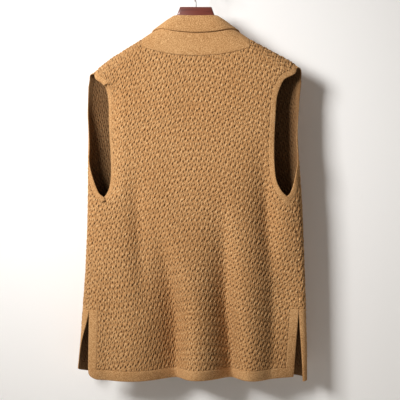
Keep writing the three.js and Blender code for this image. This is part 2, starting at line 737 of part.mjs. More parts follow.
// One cross-section of the collar: up the stand, round the roll, and down the leaf.
function collarSection(seams, place) {
  const side = place < 0 ? -1 : 1;
  const row = collarAt(Math.abs(place));
  const seam = seams[side < 0 ? 0 : 1](Math.abs(place) / COLLAR_END);
  const rollPoint = (at) => {
    const { rollX, rollY, rollZ } = collarAt(Math.min(Math.abs(at), COLLAR_END));
    return new THREE.Vector3(Math.sign(at) * rollX, rollY, rollZ);
  };
  const roll = rollPoint(place);
  const along = rollPoint(place + 1).sub(rollPoint(place - 1)).normalize();
  const up = roll.clone().sub(seam);
  const stand = up.length();
  up.normalize();
  const out = along.cross(up).normalize();
  const section = [];
  const start = SEAM_GAP + COLLAR_SET;
  for (const t of [0, 0.25, 0.5, 0.75, 1]) {
    const h = start + (stand - ROLL_RADIUS - start) * t;
    section.push(seam.clone().addScaledVector(up, h).addScaledVector(out, 2 * Math.sin(Math.PI * t)));
  }
  const centre = seam.clone().addScaledVector(up, stand - ROLL_RADIUS).addScaledVector(out, ROLL_RADIUS);
  for (const turn of [60, 120]) {
    const a = (turn * Math.PI) / 180;
    const p = centre.clone().addScaledVector(out, -ROLL_RADIUS * Math.cos(a));
    section.push(p.addScaledVector(up, ROLL_RADIUS * Math.sin(a)));
  }
  const flare = (row.flare * Math.PI) / 180;
  const down = up.clone().multiplyScalar(-Math.cos(flare)).addScaledVector(out, Math.sin(flare));
  for (const t of [0, 0.33, 0.66, 1]) {
    const p = centre.clone().addScaledVector(out, ROLL_RADIUS + 2 * Math.sin(Math.PI * t));
    section.push(p.addScaledVector(down, row.leaf * t));
  }
  return section;
}

function collarSurface(seams) {
  const places = [];
  for (let i = 1; i < COLLAR.length; i++) {
    const from = COLLAR[i - 1].along;
    const span = COLLAR[i].along - from;
    const steps = from >= 90 && from < 160 ? 3 : 2;
    for (let k = 1; k <= steps; k++) places.push(from + (span * k) / steps);
  }
  const all = [...places.map((p) => -p).reverse(), 0, ...places];
  const sections = all.map((place) => collarSection(seams, place));
  return surface(sections[0].map((_, k) => sections.map((section) => section[k])));
}

// The wooden hanger, with the hook's bore in its neck. Its arms follow the shoulders' ridges.
async function hangerGeometry() {
  const wasm = await Module();
  wasm.setup();
  const h = HANGER;
  const clear = KNIT / 2 + SEAM_GAP + 0.95;
  const half = (side) => {
    const top = (x) => ridgeZ(side * x) - clear;
    const line = [
      [h.neckHalf, h.topZ],
      [37, -72],
      [43, -86],
      [54, -101],
      [72, top(72) - 5],
      [92, top(92) - 1.6],
      [NECK_POINT.x, top(NECK_POINT.x) - 0.7],
      [130, top(130)],
      [150, top(150)],
      [h.tipX - 14, top(h.tipX - 14)],
      [h.tipX - 4, top(h.tipX - 4) - 3],
      [h.tipX, top(h.tipX) - 9],
      [h.tipX - 2, top(h.tipX) - 14],
      [h.tipX - 9, top(h.tipX) - h.tipDeep],
      [150, top(150) - h.tipDeep - 4],
      [NECK_POINT.x, top(NECK_POINT.x) - h.armDeep + 4],
      [70, top(70) - h.armDeep - 2],
      [34, -136],
    ];
    return line.map(([x, z]) => new THREE.Vector2(side * x, z));
  };
  const outline = [...half(1), ...half(-1).reverse()];
  const body = new THREE.ExtrudeGeometry(new THREE.Shape(outline), {
    depth: h.thick - 2 * h.round,
    bevelEnabled: true,
    bevelSize: h.round,
    bevelOffset: -h.round,
    bevelThickness: h.round,
    bevelSegments: 3,
  });
  body.translate(0, 0, -(h.thick - 2 * h.round) / 2);
  body.rotateX(Math.PI / 2);
  const boreRadius = HOOK.wire / 2 + HOOK.bore;
  const bore = new THREE.CylinderGeometry(boreRadius, boreRadius, 40, 16);
  bore.rotateX(Math.PI / 2);
  bore.translate(0, 0, HOOK.stemBottomZ - 1 + 20);
  const solid = (geometry) => {
    geometry.deleteAttribute("normal");
    geometry.deleteAttribute("uv");
    const merged = mergeVertices(geometry, 1e-3);
    return new wasm.Manifold(
      new wasm.Mesh({
        numProp: 3,
        vertProperties: merged.attributes.position.array,
        triVerts: new Uint32Array(merged.index.array),
      }),
    );
  };
  const mesh = solid(body).subtract(solid(bore)).getMesh();
  return meshGeometry([...mesh.vertProperties], [...mesh.triVerts]);
}

// The hook: a wire that rises from the wood, swings out, and turns over the rail.
function hookGeometry() {
  const { bend, wire, stemBottomZ } = HOOK;
  const centreZ = wire / 2 - bend;
  const route = [
    new THREE.Vector3(0, 0, stemBottomZ),
    new THREE.Vector3(0, 0, -66),
    new THREE.Vector3(0, 0, -54),
    new THREE.Vector3(-0.6, 0, -46),
    new THREE.Vector3(-4.5, 0, -39),
    new THREE.Vector3(-10, 0, -33),
  ];
  for (let turn = 206; turn >= -30; turn -= 16) {
    const a = (turn * Math.PI) / 180;
    route.push(new THREE.Vector3(bend * Math.cos(a), 0, centreZ + bend * Math.sin(a)));
  }
  const circle = new THREE.Shape();
  circle.absarc(0, 0, wire / 2, 0, 2 * Math.PI, false);
  return new THREE.ExtrudeGeometry(circle, {
    steps: 38,
    curveSegments: 5,
    extrudePath: new THREE.CatmullRomCurve3(route, false, "centripetal"),
    bevelEnabled: false,
  });
}

const vest = new THREE.Group();
vest.name = "sweater_vest";

function add(name, geometry, color, roughness, metalness = 0) {
  const mesh = new THREE.Mesh(geometry, new THREE.MeshStandardMaterial({ color, roughness, metalness }));
  mesh.name = name;
  vest.add(mesh);
}

// The back, with its hem band and the bands of its slits
const back = backSurface();
const lastCol = BACK_COLS - 1;
const gapRow = HEM_ROW - 1;
const inLowRows = (i) => i >= HEM_ROW && i < SLIT_ROW - 1;
const besideSlit = (i, j) => i < SLIT_ROW && (j < SIDE_COLS || j >= lastCol - SIDE_COLS);
const backCells = {
  back_hem_band: (i) => i < gapRow,
  back_slit_band_left: (i, j) => inLowRows(i) && j < SIDE_COLS - 1,
  back_slit_band_right: (i, j) => inLowRows(i) && j > lastCol - SIDE_COLS,
};
add(
  "back_panel",
  wall(back, (i, j) => i >= HEM_ROW && !besideSlit(i, j)),
  TEXTURED_KNIT,
  0.92,
);
for (const [name, inCell] of Object.entries(backCells)) add(name, wall(back, inCell), PLAIN_KNIT, 0.9);

// The fronts, their bands, and the armhole bands
const seams = [];
const breakRow = UNDERARM_ROW + 1 + UP_ROWS.indexOf(BREAK_UP);
for (const side of [-1, 1]) {
  const name = side < 0 ? "left" : "right";
  const front = frontSurface(side, back);
  const cols = FRONT_COLS;
  const cells = {
    front_panel: (i, j) => i >= HEM_ROW && j < cols.seam && !(i < SLIT_ROW && j < cols.slit),
    front_hem_band: (i, j) => i < gapRow && j < cols.seam,
    front_slit_band: (i, j) => inLowRows(i) && j < cols.slit - 1,
    front_band: (i, j) => i < breakRow && j > cols.seam,
  };
  for (const [piece, inCell] of Object.entries(cells)) {
    const fromSide = (j) => (side < 0 ? cols.edge - 1 - j : j);
    const color = piece === "front_panel" ? TEXTURED_KNIT : PLAIN_KNIT;
    add(
      piece + "_" + name,
      wall(front, (i, j) => inCell(i, fromSide(j))),
      color,
      0.9,
    );
  }
  add("armhole_band_" + name, ringWall(armholeBand(side, back, front)), PLAIN_KNIT, 0.9);
  seams.push(neckSeam(side, back, front));
}

add(
  "collar",
  wall(collarSurface(seams), () => true),
  PLAIN_KNIT,
  0.9,
);
add("hanger_body", await hangerGeometry(), MAHOGANY, 0.35);
add("hanger_hook", hookGeometry(), STEEL, 0.3, 0.9);

export default vest;
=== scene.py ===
"""Looks of a knitted sweater vest hanging on a wooden hanger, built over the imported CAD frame.

The vest hangs with its back to the camera. Lengths are in millimetres until a mesh is made, and the
frame's axes are kept: X to the right, Y away from the camera, Z up, with the hook's seat at zero.
"""

import bmesh
import bpy
import numpy as np
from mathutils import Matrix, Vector


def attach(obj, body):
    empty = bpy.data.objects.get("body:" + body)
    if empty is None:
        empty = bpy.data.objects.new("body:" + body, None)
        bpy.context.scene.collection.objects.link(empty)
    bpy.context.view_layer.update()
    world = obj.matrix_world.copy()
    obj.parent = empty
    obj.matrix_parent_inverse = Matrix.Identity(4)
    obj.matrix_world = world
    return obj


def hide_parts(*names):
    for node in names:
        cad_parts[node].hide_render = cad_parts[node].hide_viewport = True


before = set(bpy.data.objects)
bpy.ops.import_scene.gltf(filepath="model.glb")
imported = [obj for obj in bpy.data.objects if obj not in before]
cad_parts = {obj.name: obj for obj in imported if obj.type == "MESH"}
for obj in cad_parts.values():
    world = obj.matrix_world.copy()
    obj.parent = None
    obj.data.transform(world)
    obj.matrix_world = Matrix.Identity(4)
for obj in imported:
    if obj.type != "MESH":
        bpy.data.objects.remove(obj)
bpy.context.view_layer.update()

# Back panel
# The back is one piece of openwork knit in a brushed cotton blend, with a slanted lace stitch. It is
# knitted to shape, hangs from the shoulder seams, and falls in soft folds that open towards the hem.

KNIT = 2.4
SEAM_GAP = 0.06
HEM_Z = -813
SLIT_TOP_Z = -672
UNDERARM_Z = -458
NECK_X = 110
NECK_Z = -125.5
BACK_NECK_Z = -161
HEM_BAND = 21
SLIT_BAND = 18
RIDGE_ROUND = 26
SHOULDER_SEAM_DROP = 18
SQUARENESS = 3
MESH_STEP = 2.5

# Height, reach to the left and to the right, middle, depth of the back and of the front
SECTIONS = [
    (-100, 214, 213, 0, 21, 21),
    (-190, 215, 212, 0, 24, 24),
    (-250, 216, 206.5, 1, 27, 29),
    (-340, 218, 207.5, 3, 31, 36),
    (-458, 218.5, 215, 5, 37, 44),
    (-570, 222, 219.5, 6, 42, 50),
    (-672, 229, 223, 8, 45, 55),
    (-752, 235, 225.5, 9, 47, 58),
    (-813, 240, 226, 10, 48, 60),
]

# Share of the way up from the underarm, the back's left and right edge, the front's edge round the side
ARMHOLE = [
    (0, 192, 190, -46),
    (0.015, 183, 180, -41),
    (0.045, 175, 169, -31),
    (0.09, 169, 160, -23),
    (0.16, 166, 152, -16),
    (0.26, 166, 148, -10),
    (0.38, 168, 147, -4),
    (0.5, 170, 148, 1),
    (0.62, 171, 150, 5),
    (0.74, 170, 153, 8.5),
    (0.84, 172, 161, 11.5),
    (0.92, 180, 172, 13),
    (1, 194, 193, 14),
]

# Each fold: how far it spreads to either side, then its line down the cloth as height, x and depth
BACK_FOLDS = [
    (
        33,
        15,
        [(-430, 48, 0), (-501, 53, 9), (-571, 58, 24), (-672, 63, 39), (-752, 70, 46), (-813, 73, 48)],
    ),
    (25, 15, [(-320, 128, 0), (-385, 136, 8), (-457, 143, 18), (-530, 148, 16), (-610, 155, 0)]),
    (30, 80, [(-450, 146, 0), (-540, 152, 9), (-620, 158, 25), (-740, 160, 29), (-813, 157, 27)]),
    (
        46,
        15,
        [(-470, -92, 0), (-521, -77, 9), (-591, -58, 27), (-671, -43, 44), (-732, -39, 51), (-813, -40, 50)],
    ),
    (17, 16, [(-380, -124, 0), (-450, -119, 8), (-540, -113, 10), (-640, -108, 4), (-700, -106, 0)]),
    (22, 26, [(-540, -168, 0), (-650, -172, 3), (-740, -178, 6), (-813, -182, 8)]),
]
FOLD_ROUND = 5
FOLD_FALL = 1.35
EDGE_FADE = 14

# A soft lobe between the two large folds, and the roll of the armhole's left edge
LOBE_TOP_Z = -520
LOBE_X = 4
LOBE_WIDE = 46
LOBE_DEEP = 9
CURL_LOW_Z = -452
CURL_TALL = 237
CURL_WIDE = 26
CURL_DEEP = 19

# The hem: its rounded corner, places that hang lower (x, width, drop), its roll, and the turned-in slit
CORNER_RADIUS = 24
CORNER_RISE = 13
CORNER_DEEP = 10
HEM_DIPS = [(-125, 62, 3.5), (122, 40, 3.5)]
HEM_ROLL = 6
SLIT_TURN = 17
SLIT_TURN_X = 155
SLIT_TURN_WIDE = 50
SLIT_SPREAD = {-1: 2, 1: -10}


def through(rows):
    """A smooth curve through a table's rows, whose first column is the place along it."""
    table = np.array(sorted(rows), float)
    places = table[:, 0]
    last = len(places) - 1
    before = np.maximum(np.arange(last + 1) - 1, 0)
    after = np.minimum(np.arange(last + 1) + 1, last)
    slopes = (table[after, 1:] - table[before, 1:]) / (places[after] - places[before])[:, None]

    def at(place):
        p = np.clip(place, places[0], places[-1])
        i = np.clip(np.searchsorted(places, p) - 1, 0, last - 1)
        span = (places[i + 1] - places[i])[..., None]
        t = (p - places[i])[..., None] / span
        start = (1 + 2 * t) * (1 - t) ** 2 * table[i, 1:] + t * (1 - t) ** 2 * span * slopes[i]
        end = t * t * (3 - 2 * t) * table[i + 1, 1:] + t * t * (t - 1) * span * slopes[i + 1]
        return np.moveaxis(start + end, -1, 0)

    return at


section_at = through(SECTIONS)
armhole_at = through(ARMHOLE)
back_folds = [(left, right, through(path)) for left, right, path in BACK_FOLDS]


def spread(*points):
    """Points as one array, with x, y and z last."""
    return np.stack(np.broadcast_arrays(*points), -1)


def side_round(share):
    """How deep the body is at a share of its reach to the side."""
    return (1 - np.minimum(np.abs(share), 1) ** SQUARENESS) ** (1 / SQUARENESS)


def shoulder_round(below):
    """How deep the body is at a distance below its shoulder's ridge."""
    t = np.clip(below / RIDGE_ROUND, 0, 1)
    return np.sqrt(1 - (1 - t) ** 2)


def ridge_z(x):
    """The height of the shoulders' ridge."""
    out = np.maximum(np.abs(x) - NECK_X, 0)
    left = 0.625 * out + 0.032 * np.maximum(out - 60, 0) ** 1.5
    right = 0.535 * out + 0.11 * np.maximum(out - 85, 0) ** 1.5
    return NECK_Z - np.where(x < 0, left, right)


def fold_depth(folds, x, z):
    """How far the folds sink the cloth in at x and z."""
    total = 0.0
    for left, right, line_at in folds:
        line, depth = line_at(z)
        off = x - line
        away = np.hypot(off, FOLD_ROUND) - FOLD_ROUND
        total = total + np.maximum(depth, 0) * np.exp(-((away / np.where(off < 0, left, right)) ** FOLD_FALL))
    return total


def back_point(x, z):
    """The middle of the back's cloth at x and z."""
    left, right, middle, back, _ = section_at(z)
    share = x / np.where(x < 0, left, right)
    fade = 1 - np.minimum(np.abs(share), 1) ** EDGE_FADE
    y = middle - back * side_round(share) * shoulder_round(ridge_z(x) - z)
    low = np.clip((LOBE_TOP_Z - z) / (LOBE_TOP_Z - HEM_Z), 0, 1)
    lobe = LOBE_DEEP * low * np.exp(-(((x - LOBE_X) / LOBE_WIDE) ** 2))
    y = y + (fold_depth(back_folds, x, z) - lobe) * fade
    up = np.clip((z - UNDERARM_Z) / (ridge_z(x) - SHOULDER_SEAM_DROP - UNDERARM_Z), 0, 1)
    near = np.clip(1 - (x + armhole_at(up)[0]) / CURL_WIDE, 0, 1)
    curl = np.sin(np.pi * np.clip((z - CURL_LOW_Z) / CURL_TALL, 0, 1))
    return spread(x, y + CURL_DEEP * near * near * np.maximum(curl, 0) ** 0.6, z)


def hem_shape(points, from_left):
    """The hem's rounded left corner, its roll, its turned-in slit, and where it hangs a little lower."""
    x, y, z = np.moveaxis(points, -1, 0).copy()
    near = np.clip(1 - from_left / CORNER_RADIUS, 0, 1)
    low = np.maximum(1 - (z - HEM_Z) / (2 * CORNER_RADIUS), 0)
    z = z + CORNER_RISE * (1 - np.sqrt(1 - near * near)) * low
    y = y + CORNER_DEEP * near * near * low * low
    y = y + HEM_ROLL * np.clip((HEM_Z + HEM_BAND - z) / HEM_BAND, 0, 1) ** 2
    low = np.clip((SLIT_TOP_Z - z) / (SLIT_TOP_Z - HEM_Z), 0, 1)
    y = y + SLIT_TURN * low * np.clip((x - SLIT_TURN_X) / SLIT_TURN_WIDE, 0, 1) ** 1.5
    for middle, width, drop in HEM_DIPS:
        z = z - drop * low * np.exp(-(((x - middle) / width) ** 2))
    return spread(x, y, z)


def seam_share(z):
    """Where the side seam lies, as a share of the body's reach; it starts further in at the underarm."""
    return 0.94 - 0.067 * np.exp(-np.maximum(UNDERARM_Z - z, 0) / 26)


def back_edge_x(side, z):
    """The back's edge: the side seam, and below it the slit."""
    left, right = section_at(z)[:2]
    seam = (left if side < 0 else right) * seam_share(z)
    top_left, top_right = section_at(np.float64(SLIT_TOP_Z))[:2]
    slit = (top_left if side < 0 else top_right) * seam_share(SLIT_TOP_Z)
    down = (SLIT_TOP_Z - z) / (SLIT_TOP_Z - HEM_Z)
    return side * np.where(z >= SLIT_TOP_Z, seam, slit + SLIT_SPREAD[side] * down)


def steps(start, end, step=MESH_STEP):
    """Even places from start to end, about a step apart."""
    return np.linspace(start, end, max(int(round(abs(end - start) / step)), 1) + 1)


def back_top_z(x):
    """The back's upper edge: the shoulder seams, and the neckline between them."""
    off = np.minimum(np.abs(x - 2 + x / 55) / NECK_X, 1)
    seam = ridge_z(x) - SHOULDER_SEAM_DROP
    rise = NECK_Z - SHOULDER_SEAM_DROP - BACK_NECK_Z
    return np.where(off >= 1, seam, BACK_NECK_Z + rise * off**2.1)


# Heights of the rows of cloth from the hem to the underarm, with a line to each side of a seam
half_gap = SEAM_GAP / 2
low_parts = [
    steps(HEM_Z, HEM_Z + HEM_BAND - half_gap),
    steps(HEM_Z + HEM_BAND + half_gap, SLIT_TOP_Z - half_gap),
    steps(SLIT_TOP_Z + half_gap, UNDERARM_Z),
]
low_rows = np.concatenate(low_parts)
hem_row = len(low_parts[0])
slit_row = hem_row + len(low_parts[1])
underarm_row = len(low_rows) - 1
UP_ROWS = 150
up_rows = np.linspace(0, 1, UP_ROWS + 1)[1:]

# Columns across the back, as shares of its width: slit borders, shoulders and the neck between them
BACK_WIDTH = 420
band_share = SLIT_BAND / BACK_WIDTH
gap_share = half_gap / BACK_WIDTH
neck_left = band_share + gap_share + (1 - 2 * (band_share + gap_share)) * 6 / 28
edge_part = np.linspace(0, band_share - gap_share, 8)
side_part = np.linspace(band_share + gap_share, neck_left, 36)
middle_part = np.linspace(neck_left, 1 - neck_left, 98)
left_half = np.concatenate([edge_part, side_part])
shares = np.concatenate([left_half, middle_part[1:-1], 1 - left_half[::-1]])
band_col = len(edge_part)
neck_cols = (band_col + len(side_part) - 1, len(shares) - band_col - len(side_part))


def back_net():
    """The middle of the back's cloth as a net of points, hem to shoulder, left to right."""
    z = low_rows[:, None]
    inset = np.where(z > SLIT_TOP_Z, half_gap, 0)
    start = back_edge_x(-1, z) + inset
    end = back_edge_x(1, z) - inset
    x = start + (end - start) * shares
    low = hem_shape(back_point(x, z + 0 * x), x - start)
    up = up_rows[:, None]
    left, right = armhole_at(up_rows)[:2]
    start, end = -left[:, None], right[:, None]
    even = start + (end - start) * shares
    placed = -NECK_X + 2 * NECK_X * (shares - neck_left) / (1 - 2 * neck_left)
    outer_left = start + (-NECK_X - start) * shares / neck_left
    outer_right = NECK_X + (end - NECK_X) * (shares - 1 + neck_left) / neck_left
    placed = np.where(shares > 1 - neck_left, outer_right, placed)
    placed = np.where(shares < neck_left, outer_left, placed)
    x = even + (placed - even) * up
    high = back_point(x, UNDERARM_Z + (back_top_z(x) - UNDERARM_Z) * up)
    return np.concatenate([low, high])


def net_normals(net):
    """The way out of the cloth at each point of a net."""
    across = np.gradient(net, axis=1)
    upward = np.gradient(net, axis=0)
    normals = np.cross(across, upward)
    return normals / np.linalg.norm(normals, axis=-1, keepdims=True)


def on_net(net, rows, cols):
    """The net's values at places between its rows and columns."""
    i = np.clip(rows.astype(int), 0, net.shape[0] - 2)
    j = np.clip(cols.astype(int), 0, net.shape[1] - 2)
    s = (rows - i)[..., None]
    t = (cols - j)[..., None]
    near = net[i, j] * (1 - t) + net[i, j + 1] * t
    far = net[i + 1, j] * (1 - t) + net[i + 1, j + 1] * t
    return near * (1 - s) + far * s


def length_along(points, axis):
    """Distances along the lines of a net, from their first point."""
    gaps = np.linalg.norm(np.diff(points, axis=axis), axis=-1)
    start = np.zeros_like(np.take(gaps, [0], axis=axis))
    return np.concatenate([start, np.cumsum(gaps, axis=axis)], axis=axis)


# The lace stitch repeats over 10 mm across and 20 mm down. A row of this table holds four strands or
# gaps side by side: where each lies across the repeat, and how far it stands out of the cloth.
STITCH_WIDE = 10
STITCH_TALL = 20
STITCH = [
    [(-0.03, 0.1), (0.09, 1.0), (0.445, -1.8), (0.75, 0.1)],
    [(0.12, -0.4), (0.30, 0.4), (0.55, -0.5), (0.85, 0.3)],
    [(0.15, -0.6), (0.40, 0.8), (0.67, -1.5), (0.92, 0.8)],
    [(0.18, -1.1), (0.40, 0.6), (0.645, -1.6), (0.91, 0.9)],
    [(0.12, -1.4), (0.38, 0.1), (0.62, -0.1), (0.87, 0.6)],
    [(0.04, -1.4), (0.30, 0.4), (0.67, 0.7), (0.84, 0.2)],
    [(-0.055, -1.8), (0.23, 0.7), (0.64, 0.8), (0.79, 0.0)],
    [(-0.13, -1.2), (0.17, 1.0), (0.46, -0.8), (0.68, 0.3)],
]
STITCH_START = 0.085
ROW_DROOP = 0.22
DROOP_ROUND = 40
STITCH_DEPTH = 0.95
THINNEST = 0.6
STITCH_FADE = 2.5
UNEVEN_PLACES = (97, 89)


def wander(u, v, seed):
    """Smooth seeded noise from -1 to 1, as the stitches of a hand-fed knit are never quite even."""
    wide, tall = UNEVEN_PLACES
    grid = np.random.default_rng(seed).uniform(-1, 1, UNEVEN_PLACES)
    i = np.floor(u).astype(int)
    j = np.floor(v).astype(int)
    s = (u - i) ** 2 * (3 - 2 * (u - i))
    t = (v - j) ** 2 * (3 - 2 * (v - j))
    near = grid[i % wide, j % tall] * (1 - s) + grid[(i + 1) % wide, j % tall] * s
    far = grid[i % wide, (j + 1) % tall] * (1 - s) + grid[(i + 1) % wide, (j + 1) % tall] * s
    return near * (1 - t) + far * t


def stitched(net, rows, cols, ruler, notches, droop, seed):
    """The net's knit between some rows and columns, on a lattice that follows the stitches.

    Gives places on the net, stitch coordinates, reliefs, how near the edges each place is, and faces.
    Nothing hangs below a notch's row, to the left (-1) or right (1) of its column.
    """
    first = rows[0]
    part = net[first : rows[1] + 1, cols[0] : cols[1] + 1]
    here = np.arange(part.shape[0], dtype=float)
    columns = np.arange(part.shape[1], dtype=float)
    run = length_along(part, 1)
    middle = [np.interp(ruler[first + n] - cols[0], columns, run[n]) for n in range(len(here))]
    run = run - np.array(middle)[:, None]
    low = int(np.floor(run.min() / STITCH_WIDE)) - 1
    high = int(np.ceil(run.max() / STITCH_WIDE)) + 1
    wales = np.arange(low, high, 0.25)
    wale_cols = np.array([np.interp(wales * STITCH_WIDE, run[n], columns) for n in range(len(here))])
    lines = on_net(part, here[:, None] + 0 * wale_cols, wale_cols)
    heights = length_along(lines, 0)

    # The lattice in stitch coordinates, and where each of its points is to lie
    table = np.array(STITCH)[::-1]
    count = len(STITCH)
    most = droop * DROOP_ROUND * np.log(np.cosh(run.max() / DROOP_ROUND))
    repeats = int(np.ceil((heights[-1].max() + most) / STITCH_TALL)) + 1
    u = np.concatenate([k + table[:, :, 0] for k in range(low, high - 1)], 1)
    relief = np.concatenate([table[:, :, 1]] * (high - 1 - low), 1)
    u = np.concatenate([u] * (repeats + 1))
    relief = np.concatenate([relief] * (repeats + 1))
    v = (np.arange(-count, repeats * count) / count + STITCH_START)[:, None] + 0 * u
    relief = relief * (1 + 0.45 * wander(u * 1.7, v * 1.9, seed))
    across = u + 0.055 * wander(u * 1.3, v * 1.3, seed + 1) + 0.3 * wander(u / 6, v / 4, seed + 2)
    across *= STITCH_WIDE
    upward = v + 0.03 * wander(u * 1.4, v * 1.4, seed + 3) + 0.12 * wander(u / 5, v / 4, seed + 4)
    upward = upward * STITCH_TALL - droop * DROOP_ROUND * np.log(np.cosh(across / DROOP_ROUND))

    # The row of the net that each point reaches, along the two wales beside it
    wale = np.clip((across / STITCH_WIDE - low) * 4, 0, len(wales) - 1.001)
    beside = wale.astype(int)
    row = np.zeros_like(wale)
    for k in range(len(wales) - 1):
        there = beside == k
        share = wale[there] - k
        near_row = np.interp(upward[there], heights[:, k], here)
        far_row = np.interp(upward[there], heights[:, k + 1], here)
        row[there] = near_row * (1 - share) + far_row * share
    wale_col = on_net(wale_cols[..., None], row, wale)[..., 0]
    edge = np.stack([on_net(run[:, [c, c]][..., None], row, 0 * row)[..., 0] for c in (0, -1)])
    left = across - edge[0]
    right = edge[1] - across
    top = on_net(heights[-1:, :, None].repeat(2, 0), 0 * row, wale)[..., 0]
    near = np.minimum(np.minimum(left, right), np.minimum(upward, top - upward))
    col = np.where(left <= 0, 0, np.where(right <= 0, columns[-1], wale_col))
    for m in range(len(col)):
        inside = np.flatnonzero((left[m] > 0) & (right[m] > 0))
        if len(inside):
            row[m, : inside[0]] = row[m, max(inside[0] - 1, 0)]
            row[m, inside[-1] + 1 :] = row[m, min(inside[-1] + 1, row.shape[1] - 1)]
    u = u + (np.clip(across, edge[0], edge[1]) - across) / STITCH_WIDE
    v = v + (np.clip(upward, 0, top) - upward) / STITCH_TALL

    # Faces that lie wholly past an edge or inside a notch are left out
    outside = [row <= 0, row >= here[-1], col <= 0, col >= columns[-1]]
    for side, notch_row, notch_col in notches:
        down = notch_row - first - row
        out = side * (col - (notch_col - cols[0]))
        near = np.minimum(near, MESH_STEP * np.maximum(-down, -out))
        inside = (down > 0) & (out > 0)
        corner = np.unravel_index(np.argmin(down**2 + out**2), down.shape)
        row = np.where(inside & (down <= out), notch_row - first, row)
        col = np.where(inside & (down > out), notch_col - cols[0], col)
        row[corner] = notch_row - first
        col[corner] = notch_col - cols[0]
        near[corner] = 0
        outside.append((row <= notch_row - first) & (side * (col - notch_col + cols[0]) >= 0))
    quads = grid_faces(*row.shape)
    for hidden in outside:
        quads = quads[~hidden.reshape(-1)[quads].all(1)]
    flat = np.stack([row + first, col + cols[0]], -1).reshape(-1, 2)
    _, keep, same = np.unique(np.round(flat, 5), axis=0, return_index=True, return_inverse=True)
    quads = same.reshape(-1)[quads]
    fade = np.clip(near / STITCH_FADE, 0, 1).reshape(-1)
    stitch = np.stack([u, v], -1).reshape(-1, 2)
    return flat[keep], stitch[keep], (relief.reshape(-1) * fade)[keep], fade[keep], quads


def grid_faces(rows, cols):
    """Four-sided faces of a grid of points, row by row."""
    corner = (np.arange(rows - 1)[:, None] * cols + np.arange(cols - 1)).reshape(-1)
    return np.stack([corner, corner + 1, corner + cols + 1, corner + cols], 1)


def clean_faces(quads):
    """Faces with the corners that fall together left out."""
    faces = []
    for quad in quads.tolist():
        face = [corner for k, corner in enumerate(quad) if corner != quad[k - 1]]
        if len(set(face)) == len(face) >= 3:
            faces.append(face)
    return faces


def shell(name, points, normals, outer, inner, quads, weave, finish, inside_shade=1):
    """A closed thin wall over faces of a cloth: its outer and its inner side, joined round the rim.

    The weave gives each point's place in the knit, which the finish reads as the mesh's own data. Its third
    value is 0 on the outer side and the inside shade on the inner side, which the finishes turn into painted
    shade.
    """
    used, compact = np.unique(quads, return_inverse=True)
    faces = clean_faces(compact.reshape(quads.shape))
    points = points[used]
    normals = normals[used]
    count = len(used)
    edges = {}
    for face in faces:
        for k, corner in enumerate(face):
            edges[face[k - 1], corner] = True
    rim = [(b, a, a + count, b + count) for a, b in edges if (b, a) not in edges]
    back_faces = [[corner + count for corner in reversed(face)] for face in faces]
    outside = points + normals * outer[used][:, None]
    inside = points + normals * inner[used][:, None]
    mesh = bpy.data.meshes.new(name)
    mesh.from_pydata((np.concatenate([outside, inside]) / 1000).tolist(), [], faces + back_faces + rim)
    mesh.update()
    mesh.shade_smooth()
    place = np.concatenate([weave[used]] * 2)
    place = np.concatenate([place, np.repeat([0, inside_shade], count)[:, None]], 1).astype(np.float32)
    mesh.attributes.new("weave", "FLOAT_VECTOR", "POINT").data.foreach_set("vector", place.reshape(-1))
    mesh.materials.append(finish)
    piece = bpy.data.objects.new(name, mesh)
    bpy.context.scene.collection.objects.link(piece)
    return piece


class Shade:
    """A socket of a material's nodes, or the material's tree. Arithmetic on it adds Math nodes."""

    def __init__(self, tree, socket=None):
        self.tree = tree
        self.socket = socket

    def node(self, kind, settings=(), inputs=(), output=0):
        made = self.tree.nodes.new("ShaderNode" + kind)
        for name, value in dict(settings).items():
            if name == "stops":
                while len(made.color_ramp.elements) < len(value):
                    made.color_ramp.elements.new(0.5)
                for element, (position, color) in zip(made.color_ramp.elements, value):
                    element.position = position
                    element.color = color
            else:
                setattr(made, name, value)
        for name, value in dict(inputs).items():
            if isinstance(value, Shade):
                self.tree.links.new(value.socket, made.inputs[name])
            else:
                made.inputs[name].default_value = value
        return Shade(self.tree, made.outputs[output])

    def math(self, operation, *values):
        return self.node("Math", {"operation": operation}, dict(enumerate(values)))

    def __add__(self, other):
        return self.math("ADD", self, other)

    __radd__ = __add__

    def __mul__(self, other):
        return self.math("MULTIPLY", self, other)

    __rmul__ = __mul__

    def __sub__(self, other):
        return self.math("SUBTRACT", self, other)

    def __rsub__(self, other):
        return self.math("SUBTRACT", other, self)

    def __truediv__(self, other):
        return self.math("DIVIDE", self, other)

    def __pow__(self, other):
        return self.math("POWER", self, other)

    def __abs__(self):
        return self.math("ABSOLUTE", self)


def shader(name, **constants):
    """A new material, its tree, and its surface shader with what is the same all over set on it."""
    material = bpy.data.materials.new(name)
    material.use_nodes = True
    surface = material.node_tree.nodes["Principled BSDF"]
    for socket, value in constants.items():
        surface.inputs[socket.replace("_", " ")].default_value = value
    return material, Shade(material.node_tree), surface


def surfaced(nodes, surface, color, rough, bump):
    """Feeds what changes over a surface to its shader."""
    nodes.tree.links.new(color.socket, surface.inputs["Base Color"])
    nodes.tree.links.new(rough.socket, surface.inputs["Roughness"])
    nodes.tree.links.new(bump.socket, surface.inputs["Normal"])


def speckle(place, scale, detail):
    """Cloudy unevenness at a place, from 0 to 1."""
    return place.node("TexNoise", {}, {"Vector": place, "Scale": scale, "Detail": detail})


# The yarn's own colour; a lighter tone of it, which also carries the painted highlights; a dark brown for
# painted shade and darker flecks; and the painted shade of the cloth's inner side
YARN = (0.47, 0.228, 0.081, 1)
YARN_LIGHT_TONE_AND_HIGHLIGHT = (0.8, 0.5, 0.235, 1)
YARN_DARK_TONE_AND_SHADE = (0.045, 0.0145, 0.004, 1)
YARN_PAINTED_INSIDE_SHADE = (0.075, 0.034, 0.013, 1)
BRUSHED_YARN = {
    "Specular_IOR_Level": 0.2,
    "Sheen_Weight": 0.1,
    "Sheen_Roughness": 0.6,
    "Sheen_Tint": (0.85, 0.5, 0.22, 1),
}
